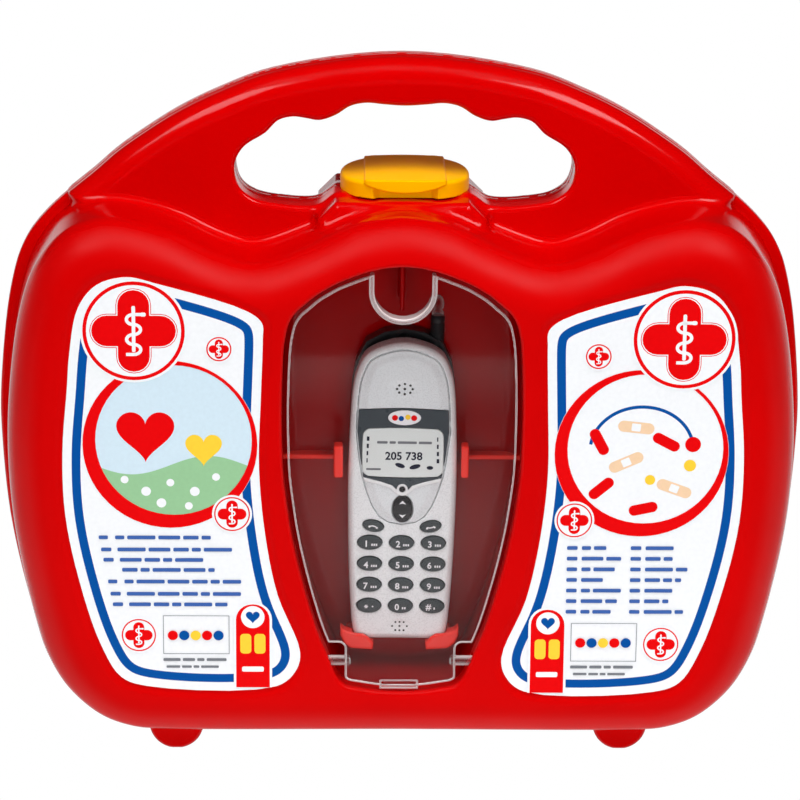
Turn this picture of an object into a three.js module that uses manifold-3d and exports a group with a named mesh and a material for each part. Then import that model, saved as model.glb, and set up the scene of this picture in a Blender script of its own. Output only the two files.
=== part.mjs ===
// Toy doctor case: two moulded half shells hinged along the bottom, a carrying handle split
// between them, a yellow latch, two labels, and a clear bottom-hung door in front of a tray
// that holds a toy mobile phone with sprung keys.
//
// Frame: millimetres, +Z up, +X to the right, front towards -Y. The two half shells meet on
// the plane Y = 0, and the case stands on its feet on Z = 0.

import * as THREE from 'three';
import { mergeVertices } from 'three/addons/utils/BufferGeometryUtils.js';
import Module from 'manifold-3d';

const wasm = await Module();
wasm.setup();

// General values
const fitGap = 0.3;          // clearance between separate pieces
const halfGap = fitGap / 2;  // each half shell stays this far from the parting plane
const cutOverrun = 2;        // cutters reach this far past the face that they cut
const weldDistance = 1e-4;   // vertices closer than this are one vertex
const curveSteps = 2;        // steps between two given points of a smooth outline
const rodSides = 20;
const smallRodSides = 14;

// Case shells
const caseWidth = 270.4;
const shellWall = 2.4;
const faceFillet = 14;       // rounding between the sides and the front or rear face
const faceDraftShare = 0.06; // the body narrows by this share of its depth
const rimProud = 3.2;        // the rim stands out from the body
const rimThickness = 3;
const filletSteps = 3;

// Phone housing
const phoneWidth = 36.4;
const phoneHeight = 107;
const phoneThickness = 17;
const phoneFrontDepth = 9;   // from the phone's face to the joint of its two housings
const phoneWall = 1.2;
const phoneEdge = 1;
const phoneLean = THREE.MathUtils.degToRad(0.6); // the top of the phone leans to the right

// Phone antenna
const antennaRadius = 2.4;
const antennaDepth = 12.6;   // from the phone's face to the axis of the antenna
const antennaStand = 4;      // black sleeve above the top of the housing
const antennaTipHeight = 7;
const antennaTipRadius = 2.1;
const antennaSeat = 12;      // length of the sleeve below the top of the housing

// Phone face
const faceplateInset = 2.2;
const faceplateThickness = 0.8;
const faceplateStand = 0.2;  // the faceplate stands out from the housing
const bezelThickness = 0.3;
const bezelSeat = 0.45;      // depth of the bezel's seat in the faceplate
const bezelCrown = 1;        // the bezel's upper edge rises by this much in the middle
const screenCorner = 2.6;
const screenRecess = 0.05;
const gemRadius = 1.4;
const gemLift = 0.4;         // from the lowest point of the bezel to the middle of the gem
const gemStand = 0.5;

// Phone keys
const keyStand = 0.8;        // the key stands out from the face
const keyTravel = 0.7;
const keyFlange = 0.35;
const keyFlangeThickness = 0.6;
const keySides = 12;
const callKeyTurn = THREE.MathUtils.degToRad(10);
const navKeyGap = 0.55;      // from the gem to the flange of the oval key

// Phone inside
const matThickness = 1;
const matMargin = 2;         // the mat reaches this far past the outer keys
const matGap = 0.35;         // between the mat and the lower screw's boss
const boardThickness = 1.2;
const boardGap = 0.7;        // between the board and the lower screw's boss
const boardMargin = 3;       // from the board's edge to the outside of the phone
const speakerRadius = 7.4;
const speakerThickness = 2.4;
const speakerGap = 1.4;      // between the speaker and the upper screw's boss
const speakerBoardGap = 2.6;
const cellRadius = 5.8;
const cellThickness = 5.35;
const cellSpacing = 1;
const cellCount = 3;
const coverThickness = 0.65;
const coverMargin = 1.6;     // ledge under the battery cover
const bossRadius = 2.4;
const screwRadius = 0.85;
const screwHeadRadius = 1.9;
const screwHeadThickness = 1.2;
const screwSink = 0.6;
const lowerScrewRise = 4.9;
const upperScrewDrop = 5.8;  // from the top of the phone to the upper screw

// Heights on the phone's face, as shares of the phone's height
const faceShares = {
  bezelTop: 0.76, screenTop: 0.701, screenBottom: 0.546, bezelFoot: 0.541, bezelTip: 0.501,
  lowestCell: 0.467,
};

// Places and widths on the phone, as shares of the phone's width
const widthShares = {
  bezelFoot: 0.742, screen: 0.7363, key: 0.2335, keyPitch: 0.294, callKey: 0.195,
  callKeyOffset: 0.2637, navKey: 0.1923, antennaOffset: 0.3022,
};

// Heights in the keypad, as shares of the way from its foot to the top of the oval key
const keypadShares = {
  keyHeight: 0.1247, keyPitch: 0.18, callKeyHeight: 0.1007, callKeyRise: 0.741, navKeyHeight: 0.2254,
};

// Compartment and window
const trayWall = 2;
const trayRoom = 5;          // from the parting plane to the back of the tray
const phoneRearRoom = 1;
const doorSwingRoom = 17.2;  // depth before the phone, for the tongue of the door
const windowSideRoom = 21.3; // from the phone's side to the widest part of the window
const windowBase = 25.9;
const phoneLift = 15.1;      // from the lowest point of the window to the phone's foot
const windowHeadRoom = 17.6; // from the tip of the antenna to the top of the window
const collarDepth = 8;       // the window's edge turns in this far
const collarWall = 2.4;
const trayFlange = 5;
const clipRise = 55.2;       // from the phone's foot to the lower end of the side clips
const clipHeight = 15;
const clipThickness = 3;
const clipGap = 0.9;
const clipReach = 19;        // from the tray's back to the front of the clips and cradles
const shelfThickness = 1.6;
const shelfReach = 15;
const cradleWidth = 11;
const cradleRise = 5.2;      // the cradles reach this far above the phone's foot
const cradleFloor = 4.2;
const ribThickness = 1.6;
const ribHeight = 20;

// Door
const doorThickness = 1.8;
const doorRecess = 2;        // from the face of the case to the face of the door
const doorGap = 2.2;         // dark slit between the door and the edge of the window
const doorHingeRise = 14.6;  // from the lowest point of the window to the door's pegs
const pegRadius = 1.7;
const pegEngage = 1.8;       // the pegs reach this far into the collar
const tongueHalfWidth = 18.5;
const pegNotchAbove = 6;     // the door's corner notch reaches this far above the pegs
const doorTabHalfWidth = 6.2;
const doorTabDrop = 2.2;
const notchHalfWidth = 9.4;
const notchDepth = 15.6;
const notchRim = 1.4;
const notchRimDepth = 5;
const notchArcSteps = 10;

// Hinge of the case
const barrelRadius = 4.2;
const barrelClearance = 0.3; // between the hinge barrels and the floor
const hingePinRadius = 1.6;
const knuckleWidth = 8;
const hingeOffsetX = 28;
const webReach = 8;
const rimRise = 0.7;         // the rim starts this far above the hinge axis

// Handle and latch seat
const windowHead = 15.9;     // from the top of the window to the latch seat
const seatRise = 3.4;        // the seat stands above the lowest point of the grip hole
const seatHalfWidth = 22;
const seatSlope = 6;
const seatBlock = 16;
const seatDepth = 24;
const holeWidth = 112.4;
const holeHeight = 34.5;
const gripHeight = 14.3;
const handleHalfThickness = 12.5;
const handleEdge = 5;
const handleWall = 2.6;

// Feet
const footRadius = 9.3;
const footFlat = 0.25;       // the round foot is cut flat by this much
const footInset = 12;
const footLength = 10;
const footOffsetX = 76;
const footPassing = 3.4;     // opened flat, the feet of the two halves pass at this distance
const footSides = 32;

// Latch
const latchWidth = 44;
const latchDepth = 42;
const latchHeight = 6;
const latchRoof = 2;
const latchWall = 2;
const latchGap = 0.6;        // between the latch and its seat
const latchSquareness = 2.4; // 2 is an ellipse
const latchSides = 36;
const crownRise = 0.9;
const crownWidth = 27;
const crownLip = 0.8;
const crownLipThickness = 1.4;
const gripWidth = 17;
const gripDepth = 3.5;
const pivotInset = 3.5;      // from the rear of the latch to its pin
const pivotRise = 1.9;       // from the underside of the latch to its pin
const latchPinRadius = 0.9;
const latchBarrelRadius = 2;
const latchBarrelShare = 0.386; // width of the latch's hinge barrel, as a share of the latch's
const earRadius = 1.8;
const earWidth = 3;

// Labels
const labelThickness = 0.35;
const labelRecess = 0.6;
const labelGlue = 0.05;
const labelTuck = 4.8;       // the label's inner corner lies inside the widest part of the window
const labelOuterMargin = 3.2;
const labelBase = 30.4;
const labelHeadroom = 19.5;  // from the latch seat down to the top of the label

// Places that follow from the sizes above
const hingeZ = barrelRadius + barrelClearance;
const rimFloor = hingeZ + rimRise;
const bodyFloor = rimFloor + rimProud;
const bodyHalfWidth = caseWidth / 2 - rimProud;
const trayBack = -trayRoom - trayWall;
const phoneFront = trayBack - phoneRearRoom - phoneThickness;
const doorInner = phoneFront - doorSwingRoom;
const doorOuter = doorInner - doorThickness;
const halfDepth = doorRecess - doorOuter;
const phoneFoot = windowBase + phoneLift;
const windowHalfWidth = phoneWidth / 2 + windowSideRoom;
const windowTop = phoneFoot + phoneHeight + antennaStand + antennaTipHeight + windowHeadRoom;
const seatTop = windowTop + windowHead;
const holeBase = seatTop - seatRise;
const caseTop = holeBase + holeHeight + gripHeight;
const doorHingeY = (doorInner + doorOuter) / 2;
const doorHingeZ = windowBase + doorHingeRise;
const latchPivotY = latchDepth / 2 - pivotInset;
const latchBarrelWidth = latchBarrelShare * latchWidth;
const latchBottom = seatTop + latchGap;
const latchPivotZ = latchBottom + pivotRise;

// Outlines, as shares of the half width and of the height. Each runs down the right side,
// from the middle of the top to the middle of the bottom.
const rimShares = [
  [0, 1], [0.318, 0.976], [0.452, 0.947], [0.552, 0.918], [0.633, 0.888], [0.7, 0.86],
  [0.759, 0.83], [0.822, 0.8], [0.874, 0.772], [0.917, 0.742], [0.944, 0.712], [0.96, 0.682],
  [0.98, 0.622], [1, 0.5], [1, 0.44], [0.984, 0.317], [0.943, 0.193], [0.912, 0.132],
  [0.86, 0.072], [0.776, 0.025], [0.68, 0.004], [0.59, 0], [0, 0],
];
const bodyShares = [
  [0, 1], [0.129, 0.984], [0.25, 0.943], [0.372, 0.916], [0.463, 0.935], [0.546, 0.965],
  [0.637, 0.987], [0.736, 0.996], [0.812, 0.982], [0.869, 0.954], [0.914, 0.913],
  [0.945, 0.867], [0.975, 0.78], [1, 0.617], [1, 0.498], [0.985, 0.384], [0.942, 0.226],
  [0.913, 0.155], [0.861, 0.0875], [0.774, 0.03], [0.683, 0.005], [0.592, 0], [0, 0],
];
const holeShares = [
  [0, 0.991], [0.231, 1], [0.338, 0.962], [0.427, 0.875], [0.525, 0.829], [0.623, 0.846],
  [0.72, 0.846], [0.818, 0.757], [0.925, 0.632], [0.989, 0.473], [1, 0.342], [0.961, 0.209],
  [0.881, 0.128], [0.765, 0.081], [0.507, 0], [0.392, 0.099], [0, 0.099],
];
const windowShares = [
  [0, 1], [0.3, 0.997], [0.532, 0.984], [0.75, 0.954], [0.861, 0.93], [0.945, 0.885],
  [0.975, 0.83], [1, 0.704], [0.98, 0.569], [0.937, 0.432], [0.848, 0.293], [0.724, 0.175],
  [0.557, 0.057], [0.38, 0.0166], [0, 0],
];
const phoneShares = [
  [0, 1], [0.36, 0.989], [0.7, 0.957], [0.879, 0.893], [0.942, 0.828], [0.97, 0.745],
  [0.991, 0.64], [1, 0.51], [0.985, 0.37], [0.96, 0.236], [0.917, 0.103], [0.887, 0.05],
  [0.84, 0.017], [0.74, 0.003], [0.6, 0], [0, 0],
];

// The label's whole outline, from its inner edge to its outer edge
const labelShares = [
  [0.714, 1], [0.597, 0.986], [0.208, 0.919], [0.149, 0.891], [0.147, 0.853], [0.158, 0.712],
  [0.169, 0.544], [0.145, 0.376], [0.095, 0.229], [0, 0.085], [0.023, 0.036], [0.104, 0],
  [0.662, 0], [0.773, 0.023], [0.857, 0.104], [0.943, 0.264], [0.995, 0.425], [1, 0.579],
  [0.974, 0.734], [0.96, 0.818], [0.92, 0.926], [0.84, 0.981],
];

// The lower end of the phone's faceplate, as shares of the phone's half width and height
const faceplateTailShares = [
  [1, 0.78], [0.87, 0.7], [0.8, 0.6], [0.742, 0.541], [0.715, 0.528], [0.65, 0.49],
  [0.55, 0.446], [0.42, 0.412], [0.25, 0.393], [0, 0.386],
];

// Solids

function toSolid(geometry) {
  const bare = geometry.clone();
  bare.deleteAttribute('normal');
  bare.deleteAttribute('uv');
  const welded = mergeVertices(bare, weldDistance);
  return new wasm.Manifold(new wasm.Mesh({
    numProp: 3,
    vertProperties: new Float32Array(welded.attributes.position.array),
    triVerts: new Uint32Array(welded.index.array),
  }));
}

function toGeometry(solid) {
  const mesh = solid.getMesh();
  const geometry = new THREE.BufferGeometry();
  geometry.setAttribute('position', new THREE.BufferAttribute(mesh.vertProperties, 3));
  geometry.setIndex(new THREE.BufferAttribute(mesh.triVerts, 1));
  geometry.computeVertexNormals();
  return geometry;
}

function joined(...solids) {
  return solids.reduce((whole, solid) => whole.add(solid));
}

function cut(solid, ...cutters) {
  return cutters.reduce((left, cutter) => left.subtract(cutter), solid);
}

function inOrder(a, b) {
  return [Math.min(a, b), Math.max(a, b)];
}

function box(x0, x1, y0, y1, z0, z1) {
  const geometry = new THREE.BoxGeometry(x1 - x0, y1 - y0, z1 - z0);
  geometry.translate((x0 + x1) / 2, (y0 + y1) / 2, (z0 + z1) / 2);
  return toSolid(geometry);
}

function rodX(radius, x0, x1, y, z, sides = rodSides) {
  const geometry = new THREE.CylinderGeometry(radius, radius, x1 - x0, sides);
  geometry.rotateZ(Math.PI / 2);
  geometry.translate((x0 + x1) / 2, y, z);
  return toSolid(geometry);
}

function rodY(radius, y0, y1, x, z, sides = rodSides) {
  const geometry = new THREE.CylinderGeometry(radius, radius, y1 - y0, sides);
  geometry.translate(x, (y0 + y1) / 2, z);
  return toSolid(geometry);
}

function rodZ(radius, z0, z1, x, y, sides = rodSides) {
  const geometry = new THREE.CylinderGeometry(radius, radius, z1 - z0, sides);
  geometry.rotateX(Math.PI / 2);
  geometry.translate(x, y, (z0 + z1) / 2);
  return toSolid(geometry);
}

// An outline of X and Z, swept from one Y to a larger one, with both ends' edges rounded
function prismY(loop, y0, y1, holes = [], edge = 0) {
  const shape = new THREE.Shape(loop);
  shape.holes = holes.map((hole) => new THREE.Path(hole));
  const geometry = new THREE.ExtrudeGeometry(shape, {
    depth: y1 - y0 - 2 * edge,
    bevelEnabled: edge > 0,
    bevelThickness: edge,
    bevelSize: edge,
    bevelOffset: -edge,
    bevelSegments: 2,
  });
  geometry.translate(0, 0, edge);
  geometry.rotateX(Math.PI / 2);
  geometry.translate(0, y1, 0);
  return toSolid(geometry);
}

// An outline of X and Y, swept upwards
function prismZ(loop, z0, z1, edge = 0) {
  const geometry = new THREE.ExtrudeGeometry(new THREE.Shape(loop), {
    depth: z1 - z0 - 2 * edge,
    bevelEnabled: edge > 0,
    bevelThickness: edge,
    bevelSize: edge,
    bevelOffset: -edge,
    bevelSegments: 2,
  });
  geometry.translate(0, 0, z0 + edge);
  return toSolid(geometry);
}

// Outlines

function mirroredLoop(shares, halfWidth, base, height, steps) {
  const right = shares.map(([x, z]) => new THREE.Vector3(x * halfWidth, base + z * height, 0));
  const left = right.slice(1, -1).map((p) => new THREE.Vector3(-p.x, p.y, 0)).reverse();
  const curve = new THREE.CatmullRomCurve3([...right, ...left].reverse(), true, 'centripetal');
  const count = steps * curve.points.length;
  return curve.getPoints(count).slice(0, count).map((p) => new THREE.Vector2(p.x, p.y));
}

// Moves each point of an anticlockwise loop inwards, or outwards by a negative distance
function inset(loop, distance) {
  return loop.map((point, i) => {
    const along = loop[(i + 1) % loop.length].clone().sub(loop.at(i - 1)).normalize();
    return new THREE.Vector2(-along.y, along.x).multiplyScalar(distance).add(point);
  });
}

function ellipse(halfWidth, halfHeight, centreX, centreY, sides, turn = 0, squareness = 2) {
  const points = [];
  for (let i = 0; i < sides; i += 1) {
    const angle = (2 * Math.PI * i) / sides;
    const swell = (value) => Math.sign(value) * Math.abs(value) ** (2 / squareness);
    const point = new THREE.Vector2(
      halfWidth * swell(Math.cos(angle)),
      halfHeight * swell(Math.sin(angle)),
    );
    points.push(point.rotateAround(new THREE.Vector2(), turn).add({ x: centreX, y: centreY }));
  }
  return points;
}

// The half width of a mirrored loop at a height
function halfWidthAt(loop, height) {
  const crossings = loop.map((a, i) => {
    const b = loop[(i + 1) % loop.length];
    const within = (a.y - height) * (b.y - height) <= 0 && a.y !== b.y;
    return within ? Math.abs(a.x + ((b.x - a.x) * (height - a.y)) / (b.y - a.y)) : 0;
  });
  return Math.max(...crossings);
}

const rimLoop = mirroredLoop(
  rimShares, caseWidth / 2, rimFloor, caseTop - rimFloor, curveSteps,
);
const bodyLoop = mirroredLoop(
  bodyShares, bodyHalfWidth, bodyFloor, seatTop - bodyFloor, curveSteps,
);
const holeLoop = mirroredLoop(holeShares, holeWidth / 2, holeBase, holeHeight, 1);
const windowLoop = mirroredLoop(
  windowShares, windowHalfWidth, windowBase, windowTop - windowBase, curveSteps,
);
const phoneLoop = mirroredLoop(phoneShares, phoneWidth / 2, 0, phoneHeight, 1);

// Half shells. The side is -1 for the front half and 1 for the rear half, and a depth is
// measured from the parting plane.

function sideSpan(side, depth0, depth1) {
  return inOrder(side * depth0, side * depth1);
}

function loft(rings, side) {
  const count = rings[0].loop.length;
  const positions = rings.flatMap(({ loop, depth }) => loop.flatMap((p) => [p.x, side * depth, p.y]));
  const faces = [];
  for (let ring = 0; ring + 1 < rings.length; ring += 1) {
    for (let i = 0; i < count; i += 1) {
      const here = ring * count + i;
      const next = ring * count + ((i + 1) % count);
      faces.push([here, next, next + count], [here, next + count, here + count]);
    }
  }
  const last = (rings.length - 1) * count;
  for (const [a, b, c] of THREE.ShapeUtils.triangulateShape(rings[0].loop, [])) {
    faces.push([c, b, a]);
  }
  for (const [a, b, c] of THREE.ShapeUtils.triangulateShape(rings.at(-1).loop, [])) {
    faces.push([last + a, last + b, last + c]);
  }
  const geometry = new THREE.BufferGeometry();
  geometry.setAttribute('position', new THREE.Float32BufferAttribute(positions, 3));
  geometry.setIndex((side < 0 ? faces : faces.map(([a, b, c]) => [c, b, a])).flat());
  return toSolid(geometry);
}

// The pillow-shaped body, or with a wall the hollow inside it, which has half the points
function bodySolid(side, wall, start) {
  const outline = wall > 0 ? bodyLoop.filter((_, i) => i % curveSteps === 0) : bodyLoop;
  const end = halfDepth - wall;
  const fillet = faceFillet - wall;
  const rings = [{ depth: start, extra: 0 }, { depth: end - fillet, extra: 0 }];
  for (let step = 1; step <= filletSteps; step += 1) {
    const angle = ((Math.PI / 2) * step) / filletSteps;
    rings.push({
      depth: end - fillet + fillet * Math.sin(angle),
      extra: fillet * (1 - Math.cos(angle)),
    });
  }
  return loft(rings.map(({ depth, extra }) => (
    { depth, loop: inset(outline, wall + faceDraftShare * depth + extra) }
  )), side);
}

// The handle's outline is the case's, closed inside the top of the body
const shoulderZ = seatTop - seatRise / 2;
const seatUnderside = seatTop - seatBlock;
const handleTop = rimLoop.filter((point) => point.y > shoulderZ).sort((a, b) => b.x - a.x);
const handleFootX = handleTop[0].x - seatSlope / 2;
const handleLoop = [
  ...handleTop,
  new THREE.Vector2(-handleFootX, shoulderZ - seatSlope),
  new THREE.Vector2(-holeWidth / 2, seatUnderside - seatSlope),
  new THREE.Vector2(holeWidth / 2, seatUnderside - seatSlope),
  new THREE.Vector2(handleFootX, shoulderZ - seatSlope),
];

const seatLoop = [
  new THREE.Vector2(-seatHalfWidth - seatSlope, seatTop - seatSlope),
  new THREE.Vector2(-seatHalfWidth - seatSlope, seatUnderside),
  new THREE.Vector2(seatHalfWidth + seatSlope, seatUnderside),
  new THREE.Vector2(seatHalfWidth + seatSlope, seatTop - seatSlope),
  new THREE.Vector2(seatHalfWidth, seatTop),
  new THREE.Vector2(-seatHalfWidth, seatTop),
];

function knuckleSpans(side) {
  const half = knuckleWidth / 2 - halfGap;
  return [-hingeOffsetX, hingeOffsetX].flatMap((centre) => (
    side < 0
      ? [[centre - half, centre + half]]
      : [
        [centre - knuckleWidth - half, centre - knuckleWidth + half],
        [centre + knuckleWidth - half, centre + knuckleWidth + half],
      ]
  ));
}

function halfShell(side, footX) {
  const reach = caseWidth;
  const halfSpace = box(-reach, reach, ...sideSpan(side, halfGap, reach), -reach, 2 * reach);
  const handle = prismY(
    handleLoop, -handleHalfThickness, handleHalfThickness, [holeLoop], handleEdge,
  ).intersect(halfSpace);
  const rim = prismY(rimLoop, ...sideSpan(side, halfGap, rimThickness), [holeLoop]);
  const seat = prismY(seatLoop, ...sideSpan(side, halfGap, seatDepth));
  const feet = [-footX, footX].map((x) => rodY(
    footRadius, ...sideSpan(side, footInset, footInset + footLength), x, footRadius - footFlat,
    footSides,
  ));
  const body = joined(bodySolid(side, 0, halfGap), rim, handle, seat, ...feet);

  const pocketDepth = handleHalfThickness - handleWall;
  const pocket = prismY(
    inset(handleLoop, handleWall), -pocketDepth, pocketDepth, [inset(holeLoop, -handleWall)],
  );
  const hollow = bodySolid(side, shellWall, -cutOverrun);
  const handleHollow = cut(pocket, bodySolid(side, 0, -cutOverrun), seat);
  const floor = box(-reach, reach, -reach, reach, -reach, 0);
  const notches = knuckleSpans(-side).map(([x0, x1]) => box(
    x0 - fitGap, x1 + fitGap, ...sideSpan(side, -cutOverrun, barrelRadius + fitGap),
    -cutOverrun, hingeZ + barrelRadius + fitGap,
  ));
  const shell = cut(body, hollow, handleHollow, floor, ...notches);

  const knuckles = knuckleSpans(side).map(([x0, x1]) => joined(
    rodX(barrelRadius, x0, x1, 0, hingeZ),
    box(x0, x1, ...sideSpan(side, halfGap, webReach), hingeZ, bodyFloor + shellWall / 2),
  ));
  const bores = [-hingeOffsetX, hingeOffsetX].map((x) => rodX(
    hingePinRadius + fitGap, x - 2 * knuckleWidth, x + 2 * knuckleWidth, 0, hingeZ,
  ));
  return cut(joined(shell, ...knuckles), ...bores);
}

function rearShell() {
  const earOuter = latchBarrelWidth / 2 + fitGap + earWidth;
  const ears = [-earOuter, earOuter - earWidth].map((x) => joined(
    rodX(earRadius, x, x + earWidth, latchPivotY, latchPivotZ),
    box(
      x, x + earWidth, latchPivotY - earRadius, latchPivotY + earRadius,
      seatTop - shellWall / 2, latchPivotZ,
    ),
  ));
  const bore = rodX(
    latchPinRadius + halfGap, -earOuter - cutOverrun, earOuter + cutOverrun,
    latchPivotY, latchPivotZ, smallRodSides,
  );
  return cut(joined(halfShell(1, footOffsetX - 2 * footRadius - footPassing), ...ears), bore);
}

// Labels

const labelInner = windowHalfWidth - labelTuck;
const labelOuter = bodyHalfWidth - faceDraftShare * halfDepth - faceFillet - labelOuterMargin;
const labelTop = seatTop - labelHeadroom;

function labelLoop(side) {
  const points = labelShares.map(([x, z]) => new THREE.Vector2(
    side * (labelInner + x * (labelOuter - labelInner)),
    labelBase + z * (labelTop - labelBase),
  ));
  return side > 0 ? points : points.reverse();
}

function label(side) {
  const back = -halfDepth + labelRecess - labelGlue;
  return prismY(labelLoop(side), back - labelThickness, back);
}

// Front shell, with the window and its turned-in collar, and a sunk field for each label

const pegReach = halfWidthAt(windowLoop, doorHingeZ) + pegEngage;

function frontShell() {
  const collarEnd = -halfDepth + collarDepth;
  const collar = prismY(
    inset(windowLoop, -collarWall), -halfDepth + shellWall / 2, collarEnd, [windowLoop],
  );
  const opening = prismY(windowLoop, -halfDepth - cutOverrun, collarEnd);
  const labelFields = [-1, 1].map((side) => prismY(
    inset(labelLoop(side), -fitGap), -halfDepth - cutOverrun, -halfDepth + labelRecess,
  ));
  const sockets = rodX(
    pegRadius + fitGap, -pegReach - cutOverrun, pegReach + cutOverrun, doorHingeY, doorHingeZ,
  );
  return cut(joined(cut(halfShell(-1, footOffsetX), opening), collar), ...labelFields, sockets);
}

// Clear door on two pegs, with a thumb notch at the top and a tab at the foot

function thumbNotchLoop(halfWidth, top, bottom) {
  const loop = [new THREE.Vector2(halfWidth, top), new THREE.Vector2(-halfWidth, top)];
  for (let i = 0; i <= notchArcSteps; i += 1) {
    const angle = Math.PI + (Math.PI * i) / notchArcSteps;
    loop.push(new THREE.Vector2(
      halfWidth * Math.cos(angle),
      bottom + halfWidth + halfWidth * Math.sin(angle),
    ));
  }
  return loop;
}

function windowDoor() {
  const outline = inset(windowLoop, doorGap);
  const top = windowTop - doorGap;
  const bottom = windowBase + doorGap;
  const notchBottom = top - notchDepth;
  const panel = prismY(outline, doorOuter, doorInner);
  const tab = box(
    -doorTabHalfWidth, doorTabHalfWidth, doorOuter, doorInner, bottom - doorTabDrop / 2, bottom + doorGap,
  );
  const rim = prismY(
    thumbNotchLoop(notchHalfWidth + notchRim, top + cutOverrun, notchBottom - notchRim),
    doorOuter, doorOuter + notchRimDepth,
  ).intersect(prismY(outline, doorOuter - cutOverrun, 0));
  const notch = prismY(
    thumbNotchLoop(notchHalfWidth, top + 2 * cutOverrun, notchBottom),
    doorOuter - cutOverrun, 0,
  );
  const corners = [-1, 1].map((side) => box(
    ...inOrder(side * tongueHalfWidth, side * windowHalfWidth), doorOuter - cutOverrun,
    doorInner + cutOverrun, 0, doorHingeZ + pegNotchAbove,
  ));
  const pegs = [-1, 1].map((side) => rodX(
    pegRadius, ...inOrder(side * (tongueHalfWidth - pegRadius), side * pegReach),
    doorHingeY, doorHingeZ,
  ));
  return joined(cut(joined(panel, tab, rim), notch, ...corners), ...pegs);
}

// Tray behind the window, with side clips, shelves, cradles and a top rib

function phoneTray() {
  const outer = inset(windowLoop, -trayWall);
  const mouth = -halfDepth + collarDepth + fitGap;
  const walls = prismY(outer, mouth, trayBack, [windowLoop]);
  const back = prismY(outer, trayBack, -trayRoom);
  const flange = prismY(inset(windowLoop, -trayFlange), mouth, mouth + trayWall, [windowLoop]);
  const clearPhone = prismY(
    inset(phoneLoop, -fitGap).map((p) => (
      p.clone().rotateAround(new THREE.Vector2(), -phoneLean).add({ x: 0, y: phoneFoot })
    )),
    phoneFront - doorSwingRoom, trayBack - phoneRearRoom + fitGap,
  );
  const behind = trayBack + trayWall / 2;
  const front = trayBack - clipReach;
  const clipSide = phoneWidth / 2 + clipGap;
  const clipMiddle = phoneHeight * Math.sin(phoneLean) / 2;
  const clipBottom = phoneFoot + clipRise;
  const clipTop = clipBottom + clipHeight;
  const fittings = [-1, 1].map((side) => {
    const clipOuter = side * (clipSide + clipThickness) + clipMiddle;
    const cradleOuter = side * (clipSide + clipThickness / 2);
    return joined(
      box(
        ...inOrder(side * clipSide + clipMiddle, clipOuter), front, behind, clipBottom, clipTop,
      ),
      box(
        ...inOrder(clipOuter - side * clipThickness / 2, side * (windowHalfWidth + trayWall / 2)),
        trayBack - shelfReach, behind, clipTop - 2 * shelfThickness, clipTop - shelfThickness,
      ),
      box(
        ...inOrder(cradleOuter - side * cradleWidth, cradleOuter), front, behind,
        phoneFoot - cradleFloor, phoneFoot + cradleRise,
      ),
    );
  });
  const rib = box(
    -ribThickness / 2, ribThickness / 2, phoneFront, behind,
    windowTop - ribHeight, windowTop + trayWall / 2,
  );
  return joined(walls, back, flange, cut(joined(...fittings), clearPhone), rib);
}

// Latch, built round its pin

function latchSolid() {
  const top = latchBottom + latchHeight;
  const oval = (grow) => ellipse(
    latchWidth / 2 + grow, latchDepth / 2 + grow, 0, 0, latchSides, 0, latchSquareness,
  );
  const reach = latchWidth;
  const cap = prismZ(oval(0), latchBottom, top);
  const crown = prismZ(oval(crownLip), top - crownLipThickness, top + crownRise).intersect(
    box(-crownWidth / 2, crownWidth / 2, -reach, latchPivotY, -reach, top + reach),
  );
  const recess = box(
    -gripWidth / 2, gripWidth / 2, -reach, -latchDepth / 2 + gripDepth,
    latchBottom - cutOverrun, top - crownLipThickness,
  );
  const recessWall = box(
    -gripWidth / 2 - latchWall, gripWidth / 2 + latchWall, -reach,
    -latchDepth / 2 + gripDepth + latchWall, latchBottom - reach, top,
  );
  const roof = top - latchRoof;
  const hollow = cut(prismZ(oval(-latchWall), latchBottom - cutOverrun, roof), recessWall);
  const earRoom = latchBarrelWidth / 2 + 2 * fitGap + earWidth;
  const rearOpening = box(
    -earRoom, earRoom, latchPivotY - latchBarrelRadius - fitGap, reach,
    latchBottom - cutOverrun, roof,
  );
  const barrel = joined(
    rodX(latchBarrelRadius, -latchBarrelWidth / 2, latchBarrelWidth / 2, latchPivotY, latchPivotZ),
    box(
      -latchBarrelWidth / 2, latchBarrelWidth / 2, latchPivotY - latchBarrelRadius,
      latchPivotY + latchBarrelRadius, latchPivotZ, roof + latchRoof / 2,
    ),
  );
  const bore = rodX(
    latchPinRadius + fitGap, -latchWidth, latchWidth, latchPivotY, latchPivotZ, smallRodSides,
  );
  const shell = cut(joined(cap, crown), hollow, recess, rearOpening);
  return cut(joined(shell, barrel), bore);
}

// Phone, in its own frame: X from its middle, Y from its face to its back, Z from its foot

const screwHeights = { lower: lowerScrewRise, upper: phoneHeight - upperScrewDrop };
const keyBase = phoneWall + fitGap;
const matFront = keyBase + keyFlangeThickness + keyTravel + fitGap;
const matBack = matFront + matThickness;
const boardFront = matBack + fitGap;
const coverBack = phoneThickness;
const coverFront = coverBack - coverThickness;
const upperBossFoot = screwHeights.upper - bossRadius;
const lowerBossHead = screwHeights.lower + bossRadius;
const cellRise = faceShares.lowestCell * phoneHeight;
const cellPitch = 2 * cellRadius + cellSpacing;
const cellsTop = cellRise + (cellCount - 1) * cellPitch;
const speakerRise = upperBossFoot - speakerGap - speakerRadius;
const boardBottom = lowerBossHead + boardGap;
const boardTop = speakerRise - speakerRadius - speakerBoardGap;
const bezelTip = faceShares.bezelTip * phoneHeight;
const bezelFootHalfWidth = widthShares.bezelFoot * phoneWidth / 2;
const antennaOffsetX = widthShares.antennaOffset * phoneWidth;
const gemRise = bezelTip + gemLift;
const keypadFoot = lowerBossHead + matGap + matMargin + keyFlange;
const keypadTop = gemRise - gemRadius - navKeyGap - keyFlange;
const keypadSpace = keypadTop - keypadFoot;
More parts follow.
